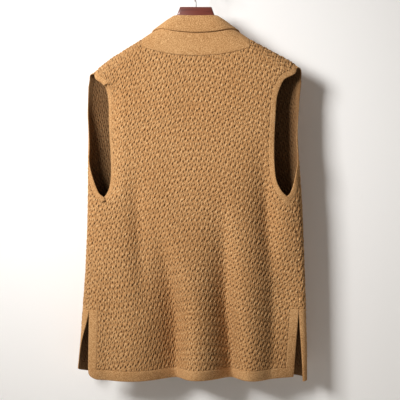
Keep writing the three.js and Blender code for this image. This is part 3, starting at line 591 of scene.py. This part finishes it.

# Gaps (painted shade) and raised strands (painted highlight) of one repeat: place across and down, lean, half
# width, half height, strength
GAPS = [
    (0.445, 0.01, 0, 0.11, 0.085, 1.0),
    (0.66, 0.35, -0.4, 0.09, 0.12, 1.1),
    (0.945, 0.79, -0.68, 0.085, 0.13, 1.15),
    (0.16, 0.48, -0.5, 0.085, 0.09, 0.85),
    (0.15, 0.22, 0, 0.085, 0.11, 0.4),
    (0.45, 0.9, -0.5, 0.07, 0.07, 0.4),
]
STRANDS = [
    (0.14, 0.97, -0.5, 0.1, 0.13, 1.0),
    (0.4, 0.27, 0, 0.09, 0.1, 0.75),
    (0.92, 0.38, -0.3, 0.08, 0.12, 0.75),
    (0.65, 0.77, -0.3, 0.09, 0.12, 0.75),
    (0.27, 0.7, -0.6, 0.07, 0.12, 0.45),
]

# Single yarns lean to the right between the gaps, lit by painted highlights and parted by painted shade
STROKE_LEAN = 0.55
STROKE_WIDE = 1.25
STROKE_LONG = 5.5


def blend(nodes, share, first, second):
    """One colour turning into another."""
    settings = {"data_type": "RGBA", "clamp_factor": True}
    return nodes.node("Mix", settings, {0: share, 6: first, 7: second}, output=2)


def marks(u, down, places):
    """How strongly the repeat's gaps or strands show at a place in it."""
    total = None
    for across, at, lean, wide, tall, strength in places:
        below = down - at
        below = below - below.math("ROUND", below)
        beside = u - across - lean * below
        beside = (beside - beside.math("ROUND", beside)) / wide
        below = below / tall
        mark = strength * beside.math("EXPONENT", 0 - beside * beside - below * below)
        total = mark if total is None else total + mark
    return total


def lace_finish():
    """Brushed cotton yarn in the slanted lace stitch: deep gaps, raised strands, twist and fuzz, with painted
    shade in the gaps, between the yarns and on the inner side, and painted highlights on strands and yarns.
    """
    material, nodes, surface = shader("lace_knit_cotton", **BRUSHED_YARN)
    weave = nodes.node("Attribute", {"attribute_name": "weave"}, output=1)
    u, v, inside_shade = [nodes.node("SeparateXYZ", {}, {0: weave}, output=k) for k in range(3)]
    down = 1 - v.math("FRACT", v)
    uneven = speckle(weave, 1.7, 1.0)
    gap = marks(u, down, GAPS) * (0.5 + uneven)
    strand = marks(u, down, STRANDS) * (1.5 - uneven)
    where = nodes.node("TexCoord", {}, {}, output=3)
    cloud = speckle(where, 9.0, 2.0)
    fleck = speckle(where, 420.0, 2.0)
    fibre = speckle(where, 1500.0, 3.0)
    across = (u * STITCH_WIDE - v * STITCH_TALL * STROKE_LEAN) / STROKE_WIDE
    along = v * (STITCH_TALL / STROKE_LONG)
    stroke_place = nodes.node("CombineXYZ", {}, {0: across, 1: along, 2: inside_shade * 7.0})
    stroke = speckle(stroke_place, 1.0, 1.0) - 0.5
    # Painted highlights on the raised strands and single yarns, with the yarn's own cloudy and flecked tone
    light = strand * 0.75 + stroke * 3.0 + (cloud - 0.5) * 0.5 + (fleck - 0.5) * 0.8
    yarn = blend(nodes, light, YARN, YARN_LIGHT_TONE_AND_HIGHLIGHT)
    # Painted shade in the gaps and between the single yarns
    yarn = blend(nodes, gap * 1.1 - stroke * 1.9 - 0.05, yarn, YARN_DARK_TONE_AND_SHADE)
    # Painted shade over the cloth's inner side
    color = blend(nodes, inside_shade * 0.7, yarn, YARN_PAINTED_INSIDE_SHADE)
    height = strand * 0.5 - gap + stroke * 1.4 + (fleck - 0.5) * 0.5 + (fibre - 0.5) * 0.3
    bump = nodes.node("Bump", {}, {"Height": height, "Distance": 0.0012, "Strength": 0.85})
    surfaced(nodes, surface, color, 0.86 + gap * 0.1, bump)
    return material


lace_knit = lace_finish()
back = back_net()
back_out = net_normals(back)
last_col = len(shares) - 1
ruler = [np.interp(0, row[:, 0], np.arange(last_col + 1)) for row in back]
notches = [(-1, slit_row, band_col), (1, slit_row, last_col - band_col)]


LACE_EDGE = 0.3
WRONG_SIDE_RELIEF = 0.25


def lace_panel(name, net, out, lace):
    """A panel of lace knit on a net, from the places and reliefs of its stitches."""
    at, stitch, relief, fade, quads = lace
    points = on_net(net, at[:, 0], at[:, 1])
    normals = on_net(out, at[:, 0], at[:, 1])
    normals /= np.linalg.norm(normals, axis=1, keepdims=True)
    outer = KNIT / 2 - LACE_EDGE * (1 - fade) + STITCH_DEPTH * relief
    inner = -KNIT / 2 + LACE_EDGE * (1 - fade) - WRONG_SIDE_RELIEF * relief
    inner = np.minimum(inner, outer - THINNEST)
    return shell(name, points, normals, outer, inner, quads, stitch, lace_knit)


def dress(piece, node):
    """The piece rides with the vest and stands for one of its CAD pieces."""
    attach(piece, "root")
    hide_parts(node)


def declare_cut(points):
    """Measures the piece's cut along the middle of its cloth: width, length and flat area, which are not kept
    or used.
    """
    width = length_along(points, 1)[:, -1].max() / 1000
    length = length_along(points, 0)[-1].max() / 1000
    one = points[1:, 1:] - points[:-1, :-1]
    other = points[1:, :-1] - points[:-1, 1:]
    area = np.linalg.norm(np.cross(one, other), axis=-1).sum() / 2e6
    area = min(area, width * length)


lace = stitched(back, (hem_row, len(back) - 1), (0, last_col), ruler, notches, ROW_DROOP, 11)
back_panel = lace_panel("back_panel_knit", back, back_out, lace)
dress(back_panel, "back_panel")
declare_cut(back[hem_row:])


# Back borders
# The hem and the edges of the two side slits are plain fine knit, linked on to the lace and turned
# in double, so that they lie flat with soft rounded edges.


BORDER_EDGE = 0.55
CLOSE_LINE = 0.7


def strip_lines(start, end, step_length):
    """Places from start to end on a net, a mesh step apart, with a close line inside each end."""
    close = CLOSE_LINE / step_length
    inner = steps(start + close, end - close, MESH_STEP / step_length)
    return np.concatenate([[start], inner, [end]])


def plain_finish():
    """Fine plain knit in the same yarn: small V stitches in upright columns, twist and fuzz, with painted
    shade in the loops' valleys, between the columns and on the inner side.
    """
    material, nodes, surface = shader("plain_knit_cotton", **BRUSHED_YARN)
    weave = nodes.node("Attribute", {"attribute_name": "weave"}, output=1)
    across, along, inside_shade = [nodes.node("SeparateXYZ", {}, {0: weave}, output=k) for k in range(3)]
    column = across / 1.9
    arm = abs(column - column.math("ROUND", column))
    loop = along / 1.35 + arm * 1.1
    loop = abs(loop - loop.math("ROUND", loop)) * 2
    where = nodes.node("TexCoord", {}, {}, output=3)
    cloud = speckle(where, 11.0, 2.0)
    fleck = speckle(where, 560.0, 2.0)
    fibre = speckle(where, 1500.0, 3.0)
    light = 0.25 + (cloud - 0.5) * 0.5 + (fleck - 0.5) * 2.2
    # Painted shade in the loops' valleys and the grooves between columns, with darker flecks of yarn
    valley_shade_and_fleck = (1 - loop) * 0.2 + (1 - 2 * arm) ** 6 * 0.25 + (0.42 - fleck) * 1.2
    yarn = blend(nodes, valley_shade_and_fleck, blend(nodes, light, YARN, YARN_LIGHT_TONE_AND_HIGHLIGHT), YARN_DARK_TONE_AND_SHADE)
    # Painted shade over the cloth's inner side
    color = blend(nodes, inside_shade * 0.7, yarn, YARN_PAINTED_INSIDE_SHADE)
    height = loop * 0.6 - (1 - 2 * arm) ** 6 * 0.5 + (fleck - 0.5) * 0.8 + (fibre - 0.5) * 0.4
    bump = nodes.node("Bump", {}, {"Height": height, "Distance": 0.0005, "Strength": 0.7})
    surfaced(nodes, surface, color, 0.84 + (1 - loop) * 0.1, bump)
    return material


plain_knit = plain_finish()


def runs(points):
    """How far each point of a grid is along its row and up its column."""
    across = length_along(points, 1)
    upward = length_along(points, 0)
    return np.stack([across, upward], -1).reshape(-1, 2)


def border(name, net, out, rows, cols):
    """A plain border over part of a net, from one row and column to another."""
    middle_row = (rows[0] + rows[1]) // 2
    middle_col = (cols[0] + cols[1]) // 2
    tall = length_along(net[rows[0] : rows[1] + 1, middle_col], 0)[-1] / (rows[1] - rows[0])
    wide = length_along(net[middle_row, cols[0] : cols[1] + 1], 0)[-1] / (cols[1] - cols[0])
    row, col = np.meshgrid(strip_lines(*rows, tall), strip_lines(*cols, wide), indexing="ij")
    points = on_net(net, row, col).reshape(-1, 3)
    normals = on_net(out, row, col).reshape(-1, 3)
    normals /= np.linalg.norm(normals, axis=1, keepdims=True)
    rim = (row == rows[0]) | (row == rows[1]) | (col == cols[0]) | (col == cols[1])
    half = np.where(rim, KNIT / 2 - BORDER_EDGE, KNIT / 2).reshape(-1)
    weave = runs(points.reshape(*row.shape, 3))
    return shell(name, points, normals, half, -half, grid_faces(*row.shape), weave, plain_knit)


back_borders = {
    "back_hem_band": ((0, hem_row - 1), (0, last_col)),
    "back_slit_band_left": ((hem_row, slit_row - 1), (0, band_col - 1)),
    "back_slit_band_right": ((hem_row, slit_row - 1), (last_col - band_col + 1, last_col)),
}
for name, (rows, cols) in back_borders.items():
    piece = border(name + "_knit", back, back_out, rows, cols)
    dress(piece, name)
    declare_cut(back[rows[0] : rows[1] + 1, cols[0] : cols[1] + 1])


# Fronts
# Each front is lace knit like the back. It starts at the side seam, a little way round on the back,
# runs up over the shoulder, and is cut away along the lapel. Its folds hang nearer to the middle.

FRONT_BAND = 44
BREAK_UP = 0.38
BREAK_Z = UNDERARM_Z + (NECK_Z - RIDGE_ROUND - UNDERARM_Z) * BREAK_UP
SEAM_TURN = -72
FRONT_FOLDS = [
    (30, 22, [(-400, -112, 0), (-520, -120, 6), (-670, -131, 15), (-813, -138, 21)]),
    (20, 28, [(-470, 98, 0), (-600, 108, 7), (-720, 114, 14), (-813, 117, 18)]),
    (16, 16, [(-560, -78, 0), (-690, -82, 5), (-813, -85, 7)]),
]
FRONT_NECK = [(-125, 110), (-152, 107), (-168, 102.5), (-206, 90), (-254, 76), (-304, 61.5), (-345, 50)]
OVER_SHOULDER = [(60, 13.5), (38, 13), (20, 12), (0, 10), (-25, 5), (SEAM_TURN, 0)]
HEM_SHIFT = {-1: 18, 1: -6}
HEM_SHIFT_WIDE = 130
SLIT_AT_HEM = {-1: -4, 1: -22}
FRONT_EDGE_X = 50
FRONT_EDGE_LEAN = 6
LACE_COLS = 66
FRONT_BAND_COLS = 18
seam_col = band_col + LACE_COLS

front_folds = [(left, right, through(path)) for left, right, path in FRONT_FOLDS]
neck_at = through(FRONT_NECK)
edge_out_at = through(OVER_SHOULDER)


def front_point(x, z):
    """The middle of a front's cloth near the shoulder, at x and z."""
    left, right, middle, _, front = section_at(z)
    share = x / np.where(x < 0, left, right)
    fade = 1 - np.minimum(np.abs(share), 1) ** EDGE_FADE
    y = middle + front * side_round(share) * shoulder_round(ridge_z(x) - z)
    return spread(x, y - fold_depth(front_folds, x, z) * fade, z)


def round_side(side, z_at):
    """A level of the body from the back round a side to the front, and the distances along it."""
    turn = (-0.36 + 0.86 * np.linspace(0, 1, 321)) * np.pi
    z = z_at(np.float64(side * 200))
    reach = section_at(z)[0 if side < 0 else 1]
    share = np.abs(np.cos(turn)) ** (2 / SQUARENESS)
    x = side * reach * share
    z = z_at(x)
    _, _, middle, back_deep, front_deep = section_at(z)
    depth = np.sign(turn) * np.abs(np.sin(turn)) ** (2 / SQUARENESS)
    fold = np.where(depth < 0, fold_depth(back_folds, x, z), -fold_depth(front_folds, x, z))
    deep = np.where(depth < 0, back_deep, front_deep)
    y = middle + deep * depth * shoulder_round(ridge_z(x) - z) + fold * (1 - share**EDGE_FADE)
    points = spread(x, y, z)
    run = length_along(points, 0)
    return points, run - run[np.argmax(np.abs(x))]


def round_to(level, x, on_front):
    """The distance round the side at which a level reaches an x."""
    points, run = level
    start = int(np.searchsorted(run, 0))
    if on_front:
        return np.interp(abs(x), np.abs(points[start:, 0])[::-1], run[start:][::-1])
    return np.interp(abs(x), np.abs(points[: start + 1, 0]), run[: start + 1])


def front_row(side, level, start, seam_x):
    """A front's row: its slit border, its lace, and the border of its front edge."""
    end = round_to(level, seam_x, True) - half_gap
    slit = np.linspace(start, start + SLIT_BAND - half_gap, band_col)
    lace = np.linspace(start + SLIT_BAND + half_gap, end, LACE_COLS)
    front = end + SEAM_GAP + np.linspace(0, FRONT_BAND, FRONT_BAND_COLS)
    place = np.concatenate([slit, lace, front])
    points, run = level
    row = np.stack([np.interp(place, run, points[:, k]) for k in range(3)], -1)
    low = np.clip((SLIT_TOP_Z - row[:, 2]) / (SLIT_TOP_Z - HEM_Z), 0, 1)
    near = np.maximum(1 - (place - start) / HEM_SHIFT_WIDE, 0)
    row[:, 2] += HEM_SHIFT[side] * near * near * low * low
    return row


def even_level(z):
    """A level at one height all round the body."""

    def z_at(x):
        return z + 0 * x

    return z_at


def raised_level(up):
    """A level a share of the way up from the underarm to just below the shoulder's ridge."""

    def z_at(x):
        return UNDERARM_Z + (ridge_z(x) - RIDGE_ROUND - UNDERARM_Z) * up

    return z_at


def front_edge_x(z):
    """Where the lace ends at the open front's border, which leans out towards the hem."""
    down = np.clip((BREAK_Z - z) / (BREAK_Z - HEM_Z), 0, 1)
    return FRONT_EDGE_X + FRONT_EDGE_LEAN * down


def front_net(side):
    """The middle of a front's cloth as a net, hem to shoulder seam, left to right."""
    net = []
    for z in low_rows:
        level = round_side(side, even_level(z))
        seam = round_to(level, back_edge_x(side, z), False)
        start = seam + half_gap
        if z <= SLIT_TOP_Z:
            seam = round_to(level, back_edge_x(side, np.float64(SLIT_TOP_Z)), False)
            down = (SLIT_TOP_Z - z) / (SLIT_TOP_Z - HEM_Z)
            start = seam + (SLIT_AT_HEM[side] - seam) * np.sin(np.pi / 2 * down) ** 1.3
        net.append(front_row(side, level, start, front_edge_x(z)))
    for up in up_rows:
        z_at = raised_level(up)
        level = round_side(side, z_at)
        seam_x = front_edge_x(z_at(side * FRONT_EDGE_X)) if up < BREAK_UP else neck_at(z_at(side * 70))[0]
        net.append(front_row(side, level, armhole_at(up)[2], seam_x))
    below = net[-1][:, 0]
    cols = len(below)
    share = np.clip(np.arange(cols) / (seam_col - 1), 0, None)
    for turn in np.linspace(90, SEAM_TURN, 31)[1:]:
        edge = armhole_at(1.0)[0 if side < 0 else 1] + edge_out_at(turn)[0]
        neck = NECK_X + half_gap - 3 * max(turn, 0) / 90
        x = side * (edge + (neck - edge) * share)
        still = np.clip((turn - 60) / 30, 0, 1)
        x = x * (1 - still) + below * still
        z = ridge_z(x) - RIDGE_ROUND * (1 - np.cos(np.radians(turn)))
        row = front_point(x, z) if turn >= 0 else back_point(x, z)
        if turn == SEAM_TURN:
            row = np.stack([np.interp(x, back[-1, :, 0], back[-1, :, k]) for k in range(3)], -1)
            row += back_point(x, row[:, 2] + SEAM_GAP) - back_point(x, row[:, 2])
        net.append(row)
    net = np.array(net)
    return net[:, ::-1] if side < 0 else net


def from_side(side, wide, start, end):
    """Columns of a front's net, counted from its side seam."""
    return (start, end) if side > 0 else (wide - end, wide - start)


def plumb_line(side, net):
    """Each row's column on the line down which the stitches of a front hang."""
    order = np.arange(net.shape[1])[::side]
    columns = []
    for row in np.abs(net[:, :, 0]):
        start = int(np.argmax(row[order]))
        reached = -row[order][start:seam_col]
        columns.append(np.interp(-PLUMB_X, reached, order[start:seam_col].astype(float)))
    return columns


PLUMB_X = 120
fronts = {}
for side, word in ((-1, "left"), (1, "right")):
    net = front_net(side)
    out = net_normals(net)
    fronts[side] = (net, out)
    wide = net.shape[1] - 1
    lace_cols = from_side(side, wide, 0, seam_col - 1)
    notch = (-side, slit_row, band_col if side > 0 else wide - band_col)
    lace = stitched(net, (hem_row, len(net) - 1), lace_cols, plumb_line(side, net), [notch], 0, 21 + side)
    name = "front_panel_" + word
    panel = lace_panel(name + "_knit", net, out, lace)
    dress(panel, name)
    declare_cut(net[hem_row:, lace_cols[0] : lace_cols[1] + 1])
    break_row = underarm_row + 1 + int(np.searchsorted(up_rows, BREAK_UP - 1e-9))
    borders = {
        "front_hem_band_": ((0, hem_row - 1), lace_cols),
        "front_slit_band_": ((hem_row, slit_row - 1), from_side(side, wide, 0, band_col - 1)),
        "front_band_": ((0, break_row), from_side(side, wide, seam_col, wide)),
    }
    for start, (rows, cols) in borders.items():
        piece = border(start + word + "_knit", net, out, rows, cols)
        dress(piece, start + word)
        declare_cut(net[rows[0] : rows[1] + 1, cols[0] : cols[1] + 1])


# Armhole borders
# A narrow plain border is linked on all round each armhole, and curls a little towards the inside.

ARMHOLE_BAND = 11
SHARPEST_BEND = 0.045
BESIDE = 5

# Lines across the border, and half its thickness there
band_lines = np.array([SEAM_GAP, 1.0, 3, 5.5, 8, 10.3, ARMHOLE_BAND])
band_halves = np.array([KNIT / 2 - 0.4, 1.2, 1.2, 1.2, 1.2, 1.2, KNIT / 2 - 0.6])
for side, word in ((-1, "left"), (1, "right")):
    net, out = fronts[side]
    side_col = net.shape[1] - 1 if side < 0 else 0
    inner_col = side_col + side * BESIDE
    back_col = 0 if side < 0 else last_col
    back_inner = back_col - side * BESIDE
    loop = []
    for i in range(underarm_row, len(back)):
        edge = (back[i, back_col], back_out[i, back_col])
        loop.append((*edge, back[i, back_inner], back_out[i, back_inner]))
    for i in range(len(net) - 2, underarm_row, -1):
        loop.append((net[i, side_col], out[i, side_col], net[i, inner_col], out[i, inner_col]))
    point, normal, beside, beside_out = (np.array(part) for part in zip(*loop))
    along = np.roll(point, -1, 0) - np.roll(point, 1, 0)
    into = np.cross(normal, along) * (1 if side < 0 else -1)
    into /= np.linalg.norm(into, axis=1, keepdims=True)
    bend = -(beside_out * into).sum(1) / np.maximum(np.linalg.norm(point - beside, axis=1), 1)
    bend = np.clip(bend, 0, SHARPEST_BEND)
    w = band_lines[::side][None, :, None]
    points = point[:, None] + into[:, None] * w - normal[:, None] * (bend[:, None, None] * w * w / 2)
    normals = normal[:, None] + into[:, None] * bend[:, None, None] * w
    normals /= np.linalg.norm(normals, axis=-1, keepdims=True)
    n, m = points.shape[:2]
    quads = grid_faces(n + 1, m) % (n * m)
    half = np.broadcast_to(band_halves[::side], (n, m)).reshape(-1)
    name = "armhole_band_" + word
    flat = points.reshape(-1, 3)
    flat_out = normals.reshape(-1, 3)
    piece = shell(name + "_knit", flat, flat_out, half, -half, quads, runs(points), plain_knit)
    dress(piece, name)
    declare_cut(np.concatenate([points, points[:1]]))


# Collar
# The shawl collar is plain fine knit, sewn on round the neck. Its stand rises inside the neck, and
# its leaf turns down over a soft roll and widens at the front into the lapels.

# Distance along its seam from the middle of the back; the roll's x, y and z; the leaf's length and flare
COLLAR = [
    (0, 0, -14.5, -79.5, 33, 4),
    (32, 15, -14.3, -79.3, 33, 4),
    (62, 29, -13.4, -79, 33.5, 4),
    (90, 39.5, -10.5, -79.6, 34.5, 3),
    (112, 45.5, -5, -83, 37, 3),
    (140, 49.5, 5, -91, 41, 3),
    (160, 51, 12, -99, 46, 3),
    (177, 51, 18, -108, 52, 3),
    (205, 48, 26, -130, 60, 3),
    (245, 41, 33.5, -168, 66, 3),
    (290, 31, 38.5, -222, 66, 3),
    (335, 17.5, 41.5, -285, 52, 3),
    (373, 6.5, 42.5, -339.6, 9, 2),
]
ROLL_RADIUS = 1.75
COLLAR_SET = 0.35
COLLAR_BOW = 2
COLLAR_EDGE = 0.6
collar_at = through(COLLAR)
collar_end = COLLAR[-1][0]


def neck_seam(side):
    """Points along half of the neck's seam, from the middle of the back to where the lapel ends."""
    net = fronts[side][0]
    middle = (neck_cols[0] + neck_cols[1]) // 2
    top = back[-1, middle : neck_cols[1] + 1]
    if side < 0:
        top = back[-1, neck_cols[0] : middle + 1][::-1]
    neck_col = seam_col - 1 if side > 0 else net.shape[1] - seam_col
    return np.concatenate([top, net[break_row:, neck_col][::-1]])


def roll_point(place):
    """The collar's roll at a distance along its seam, to the left (below 0) or right."""
    x, y, z = collar_at(np.minimum(np.abs(place), collar_end))[:3]
    return spread(np.sign(place) * x, y, z)


seams = {side: neck_seam(side) for side in (-1, 1)}
half_places = steps(0, collar_end)
sections = []
for place in np.concatenate([-half_places[:0:-1], half_places]):
    side = -1 if place < 0 else 1
    line = seams[side]
    run = length_along(line, 0)
    share = abs(place) / collar_end * (run[-1] - 2 * SEAM_GAP)
    seam = np.array([np.interp(share, run, line[:, k]) for k in range(3)])
    leaf, flare = collar_at(np.float64(abs(place)))[3:]
    flare = np.radians(flare)
    roll = roll_point(np.float64(place))
    along = roll_point(np.float64(place + 1)) - roll_point(np.float64(place - 1))
    along /= np.linalg.norm(along)
    up = roll - seam
    stand = np.linalg.norm(up)
    up /= stand
    outward = np.cross(along, up)
    outward /= np.linalg.norm(outward)
    start = SEAM_GAP + COLLAR_SET
    t = np.concatenate([[0, 0.03], np.linspace(0.1, 1, 10)])[:, None]
    rise = start + (stand - ROLL_RADIUS - start) * t
    stand_part = seam + up * rise + outward * COLLAR_BOW * np.sin(np.pi * t)
    centre = seam + up * (stand - ROLL_RADIUS) + outward * ROLL_RADIUS
    turn = np.radians(np.linspace(30, 150, 5))[:, None]
    roll_part = centre - outward * ROLL_RADIUS * np.cos(turn) + up * ROLL_RADIUS * np.sin(turn)
    down = -up * np.cos(flare) + outward * np.sin(flare)
    t = np.concatenate([np.linspace(0, 0.97, 14), [1]])[:, None]
    leaf_part = centre + outward * (ROLL_RADIUS + COLLAR_BOW * np.sin(np.pi * t)) + down * leaf * t
    sections.append(np.concatenate([stand_part, roll_part, leaf_part]))
collar_net = np.array(sections[::-1]).transpose(1, 0, 2)
collar_out = net_normals(collar_net)
rim = np.full(collar_net.shape[:2], KNIT / 2)
rim[[0, -1]] = KNIT / 2 - COLLAR_EDGE
rim[:, [0, -1]] = KNIT / 2 - COLLAR_EDGE
rim = rim.reshape(-1)
faces = grid_faces(*collar_net.shape[:2])
points = collar_net.reshape(-1, 3)
out = collar_out.reshape(-1, 3)
collar = shell("collar_knit", points, out, rim, -rim, faces, runs(collar_net), plain_knit, 0)
dress(collar, "collar")
declare_cut(collar_net)


# Hanger
# The hanger is a flat board of mahogany, sawn to the shoulders' line, rounded and varnished. The hook
# is a bent and plated steel wire, screwed into a bore in its neck.

MAHOGANY = (0.165, 0.036, 0.023, 1)
MAHOGANY_DARK = (0.07, 0.014, 0.011, 1)
GRAIN_STRETCH = (9, 130, 130)
STEEL_DULL = (0.16, 0.155, 0.15, 1)
STEEL_BRIGHT = (0.3, 0.29, 0.28, 1)


def mahogany_finish():
    """Varnished mahogany: straight brown-red grain along the board, with short dark pores."""
    material, nodes, surface = shader("varnished_mahogany", Coat_Weight=0.5, Coat_Roughness=0.15)
    where = nodes.node("TexCoord", {}, {}, output=3)
    board = nodes.node("VectorMath", {"operation": "MULTIPLY"}, {0: where, 1: GRAIN_STRETCH})
    grain = nodes.node("TexNoise", {}, {"Vector": board, "Scale": 1.0, "Detail": 5.0, "Distortion": 0.5})
    pores = speckle(board, 7.0, 2.0)
    share = (grain - 0.42) * 2.2 + (pores - 0.5) * 1.2
    color = blend(nodes, share, MAHOGANY, MAHOGANY_DARK)
    rough = 0.36 + (pores - 0.5) * 0.3
    bump = nodes.node("Bump", {}, {"Height": pores + grain * 0.5, "Distance": 0.0002, "Strength": 0.25})
    surfaced(nodes, surface, color, rough, bump)
    return material


def wire_finish():
    """Nickel-plated steel wire, a little dulled and scratched along its length."""
    material, nodes, surface = shader("plated_steel_wire", Metallic=1.0)
    where = nodes.node("TexCoord", {}, {}, output=3)
    dull = speckle(where, 160.0, 3.0)
    scratch = speckle(where, 1400.0, 2.0)
    color = blend(nodes, dull, STEEL_DULL, STEEL_BRIGHT)
    rough = 0.24 + dull * 0.22
    bump = nodes.node("Bump", {}, {"Height": scratch, "Distance": 0.0001, "Strength": 0.2})
    surfaced(nodes, surface, color, rough, bump)
    return material


def hard_piece(name, node, finish):
    """A CAD piece's own shape as a new mesh, welded and shaded smooth all over."""
    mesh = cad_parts[node].data.copy()
    mesh.name = name
    welded = bmesh.new()
    welded.from_mesh(mesh)
    bmesh.ops.remove_doubles(welded, verts=welded.verts, dist=1e-6)
    welded.to_mesh(mesh)
    welded.free()
    mesh.shade_smooth()
    mesh.materials.clear()
    mesh.materials.append(finish)
    piece = bpy.data.objects.new(name, mesh)
    bpy.context.scene.collection.objects.link(piece)
    dress(piece, node)
    return piece


board = hard_piece("hanger_board", "hanger_body", mahogany_finish())
edges = board.modifiers.new("softened_edges", "BEVEL")
edges.width = 0.0006
edges.segments = 2
edges.limit_method = "ANGLE"
edges.harden_normals = True
hook = hard_piece("hanger_wire_hook", "hanger_hook", wire_finish())
hook.modifiers.new("round_wire", "SUBSURF").levels = 1
hook.modifiers["round_wire"].render_levels = 1


# Room
# A white wall close behind the vest, a pale floor, and one soft studio light from the upper left. The
# wall is open from behind, so that the front of the vest can be seen there.

# In metres
WALL_Y = 0.074
FLOOR_Z = -1.3
ROOM_SIDE = 3
ROOM_TOP = 1.8
ROOM_FRONT = -4
LAMP_PLACE = (-1.28, -1.5, 0.36)
LAMP_AIM = (-0.1, 0, -0.25)
CAMERA_PLACE = (0.0086, -2.035, -0.451)


def backdrop(name, corners, material):
    """A flat part of the room."""
    mesh = bpy.data.meshes.new(name)
    mesh.from_pydata(corners, [], [(0, 1, 2, 3)])
    mesh.materials.append(material)
    plane = bpy.data.objects.new(name, mesh)
    bpy.context.scene.collection.objects.link(plane)


def painted_finish():
    """Matt white paint, seen from the room's side only, with a faint warm glow of its own: painted bounce
    light that lifts the shadows on the wall and floor.
    """
    material, nodes, surface = shader("white_paint", Emission_Strength=1.0, Roughness=0.9)
    surface.inputs["Base Color"].default_value = (0.9, 0.89, 0.87, 1)
    # Painted bounce light: a faint warm glow of the paint itself
    surface.inputs["Emission Color"].default_value = (0.06, 0.047, 0.036, 1)
    behind = nodes.node("NewGeometry", {}, {}, output=6)
    clear = nodes.node("BsdfTransparent")
    shown = nodes.node("MixShader", {}, {0: behind, 1: Shade(nodes.tree, surface.outputs[0]), 2: clear})
    nodes.tree.links.new(shown.socket, nodes.tree.nodes["Material Output"].inputs["Surface"])
    return material


paint = painted_finish()
foot = [(-ROOM_SIDE, WALL_Y, FLOOR_Z), (ROOM_SIDE, WALL_Y, FLOOR_Z)]
backdrop("wall", foot + [(ROOM_SIDE, WALL_Y, ROOM_TOP), (-ROOM_SIDE, WALL_Y, ROOM_TOP)], paint)
near_edge = [(-ROOM_SIDE, ROOM_FRONT, FLOOR_Z), (ROOM_SIDE, ROOM_FRONT, FLOOR_Z)]
backdrop("floor", near_edge + foot[::-1], paint)

window = bpy.data.lights.new("window", "AREA")
window.size = 0.65
window.spread = np.radians(72)
window.energy = 10.6
lamp = bpy.data.objects.new("window", window)
lamp.location = LAMP_PLACE
lamp.rotation_euler = (Vector(LAMP_AIM) - lamp.location).to_track_quat("-Z", "Y").to_euler()
bpy.context.scene.collection.objects.link(lamp)

room = bpy.data.worlds.new("room")
room.use_nodes = True
room.node_tree.nodes["Background"].inputs["Color"].default_value = (1, 1, 1, 1)
room.node_tree.nodes["Background"].inputs["Strength"].default_value = 0.1
bpy.context.scene.world = room
bpy.context.scene.view_settings.view_transform = "Standard"

camera = bpy.data.objects.new("camera", bpy.data.cameras.new("camera"))
camera.data.lens = 90
camera.data.sensor_width = 36
camera.location = CAMERA_PLACE
camera.rotation_euler = (np.pi / 2, 0, 0)
bpy.context.scene.collection.objects.link(camera)
bpy.context.scene.camera = camera
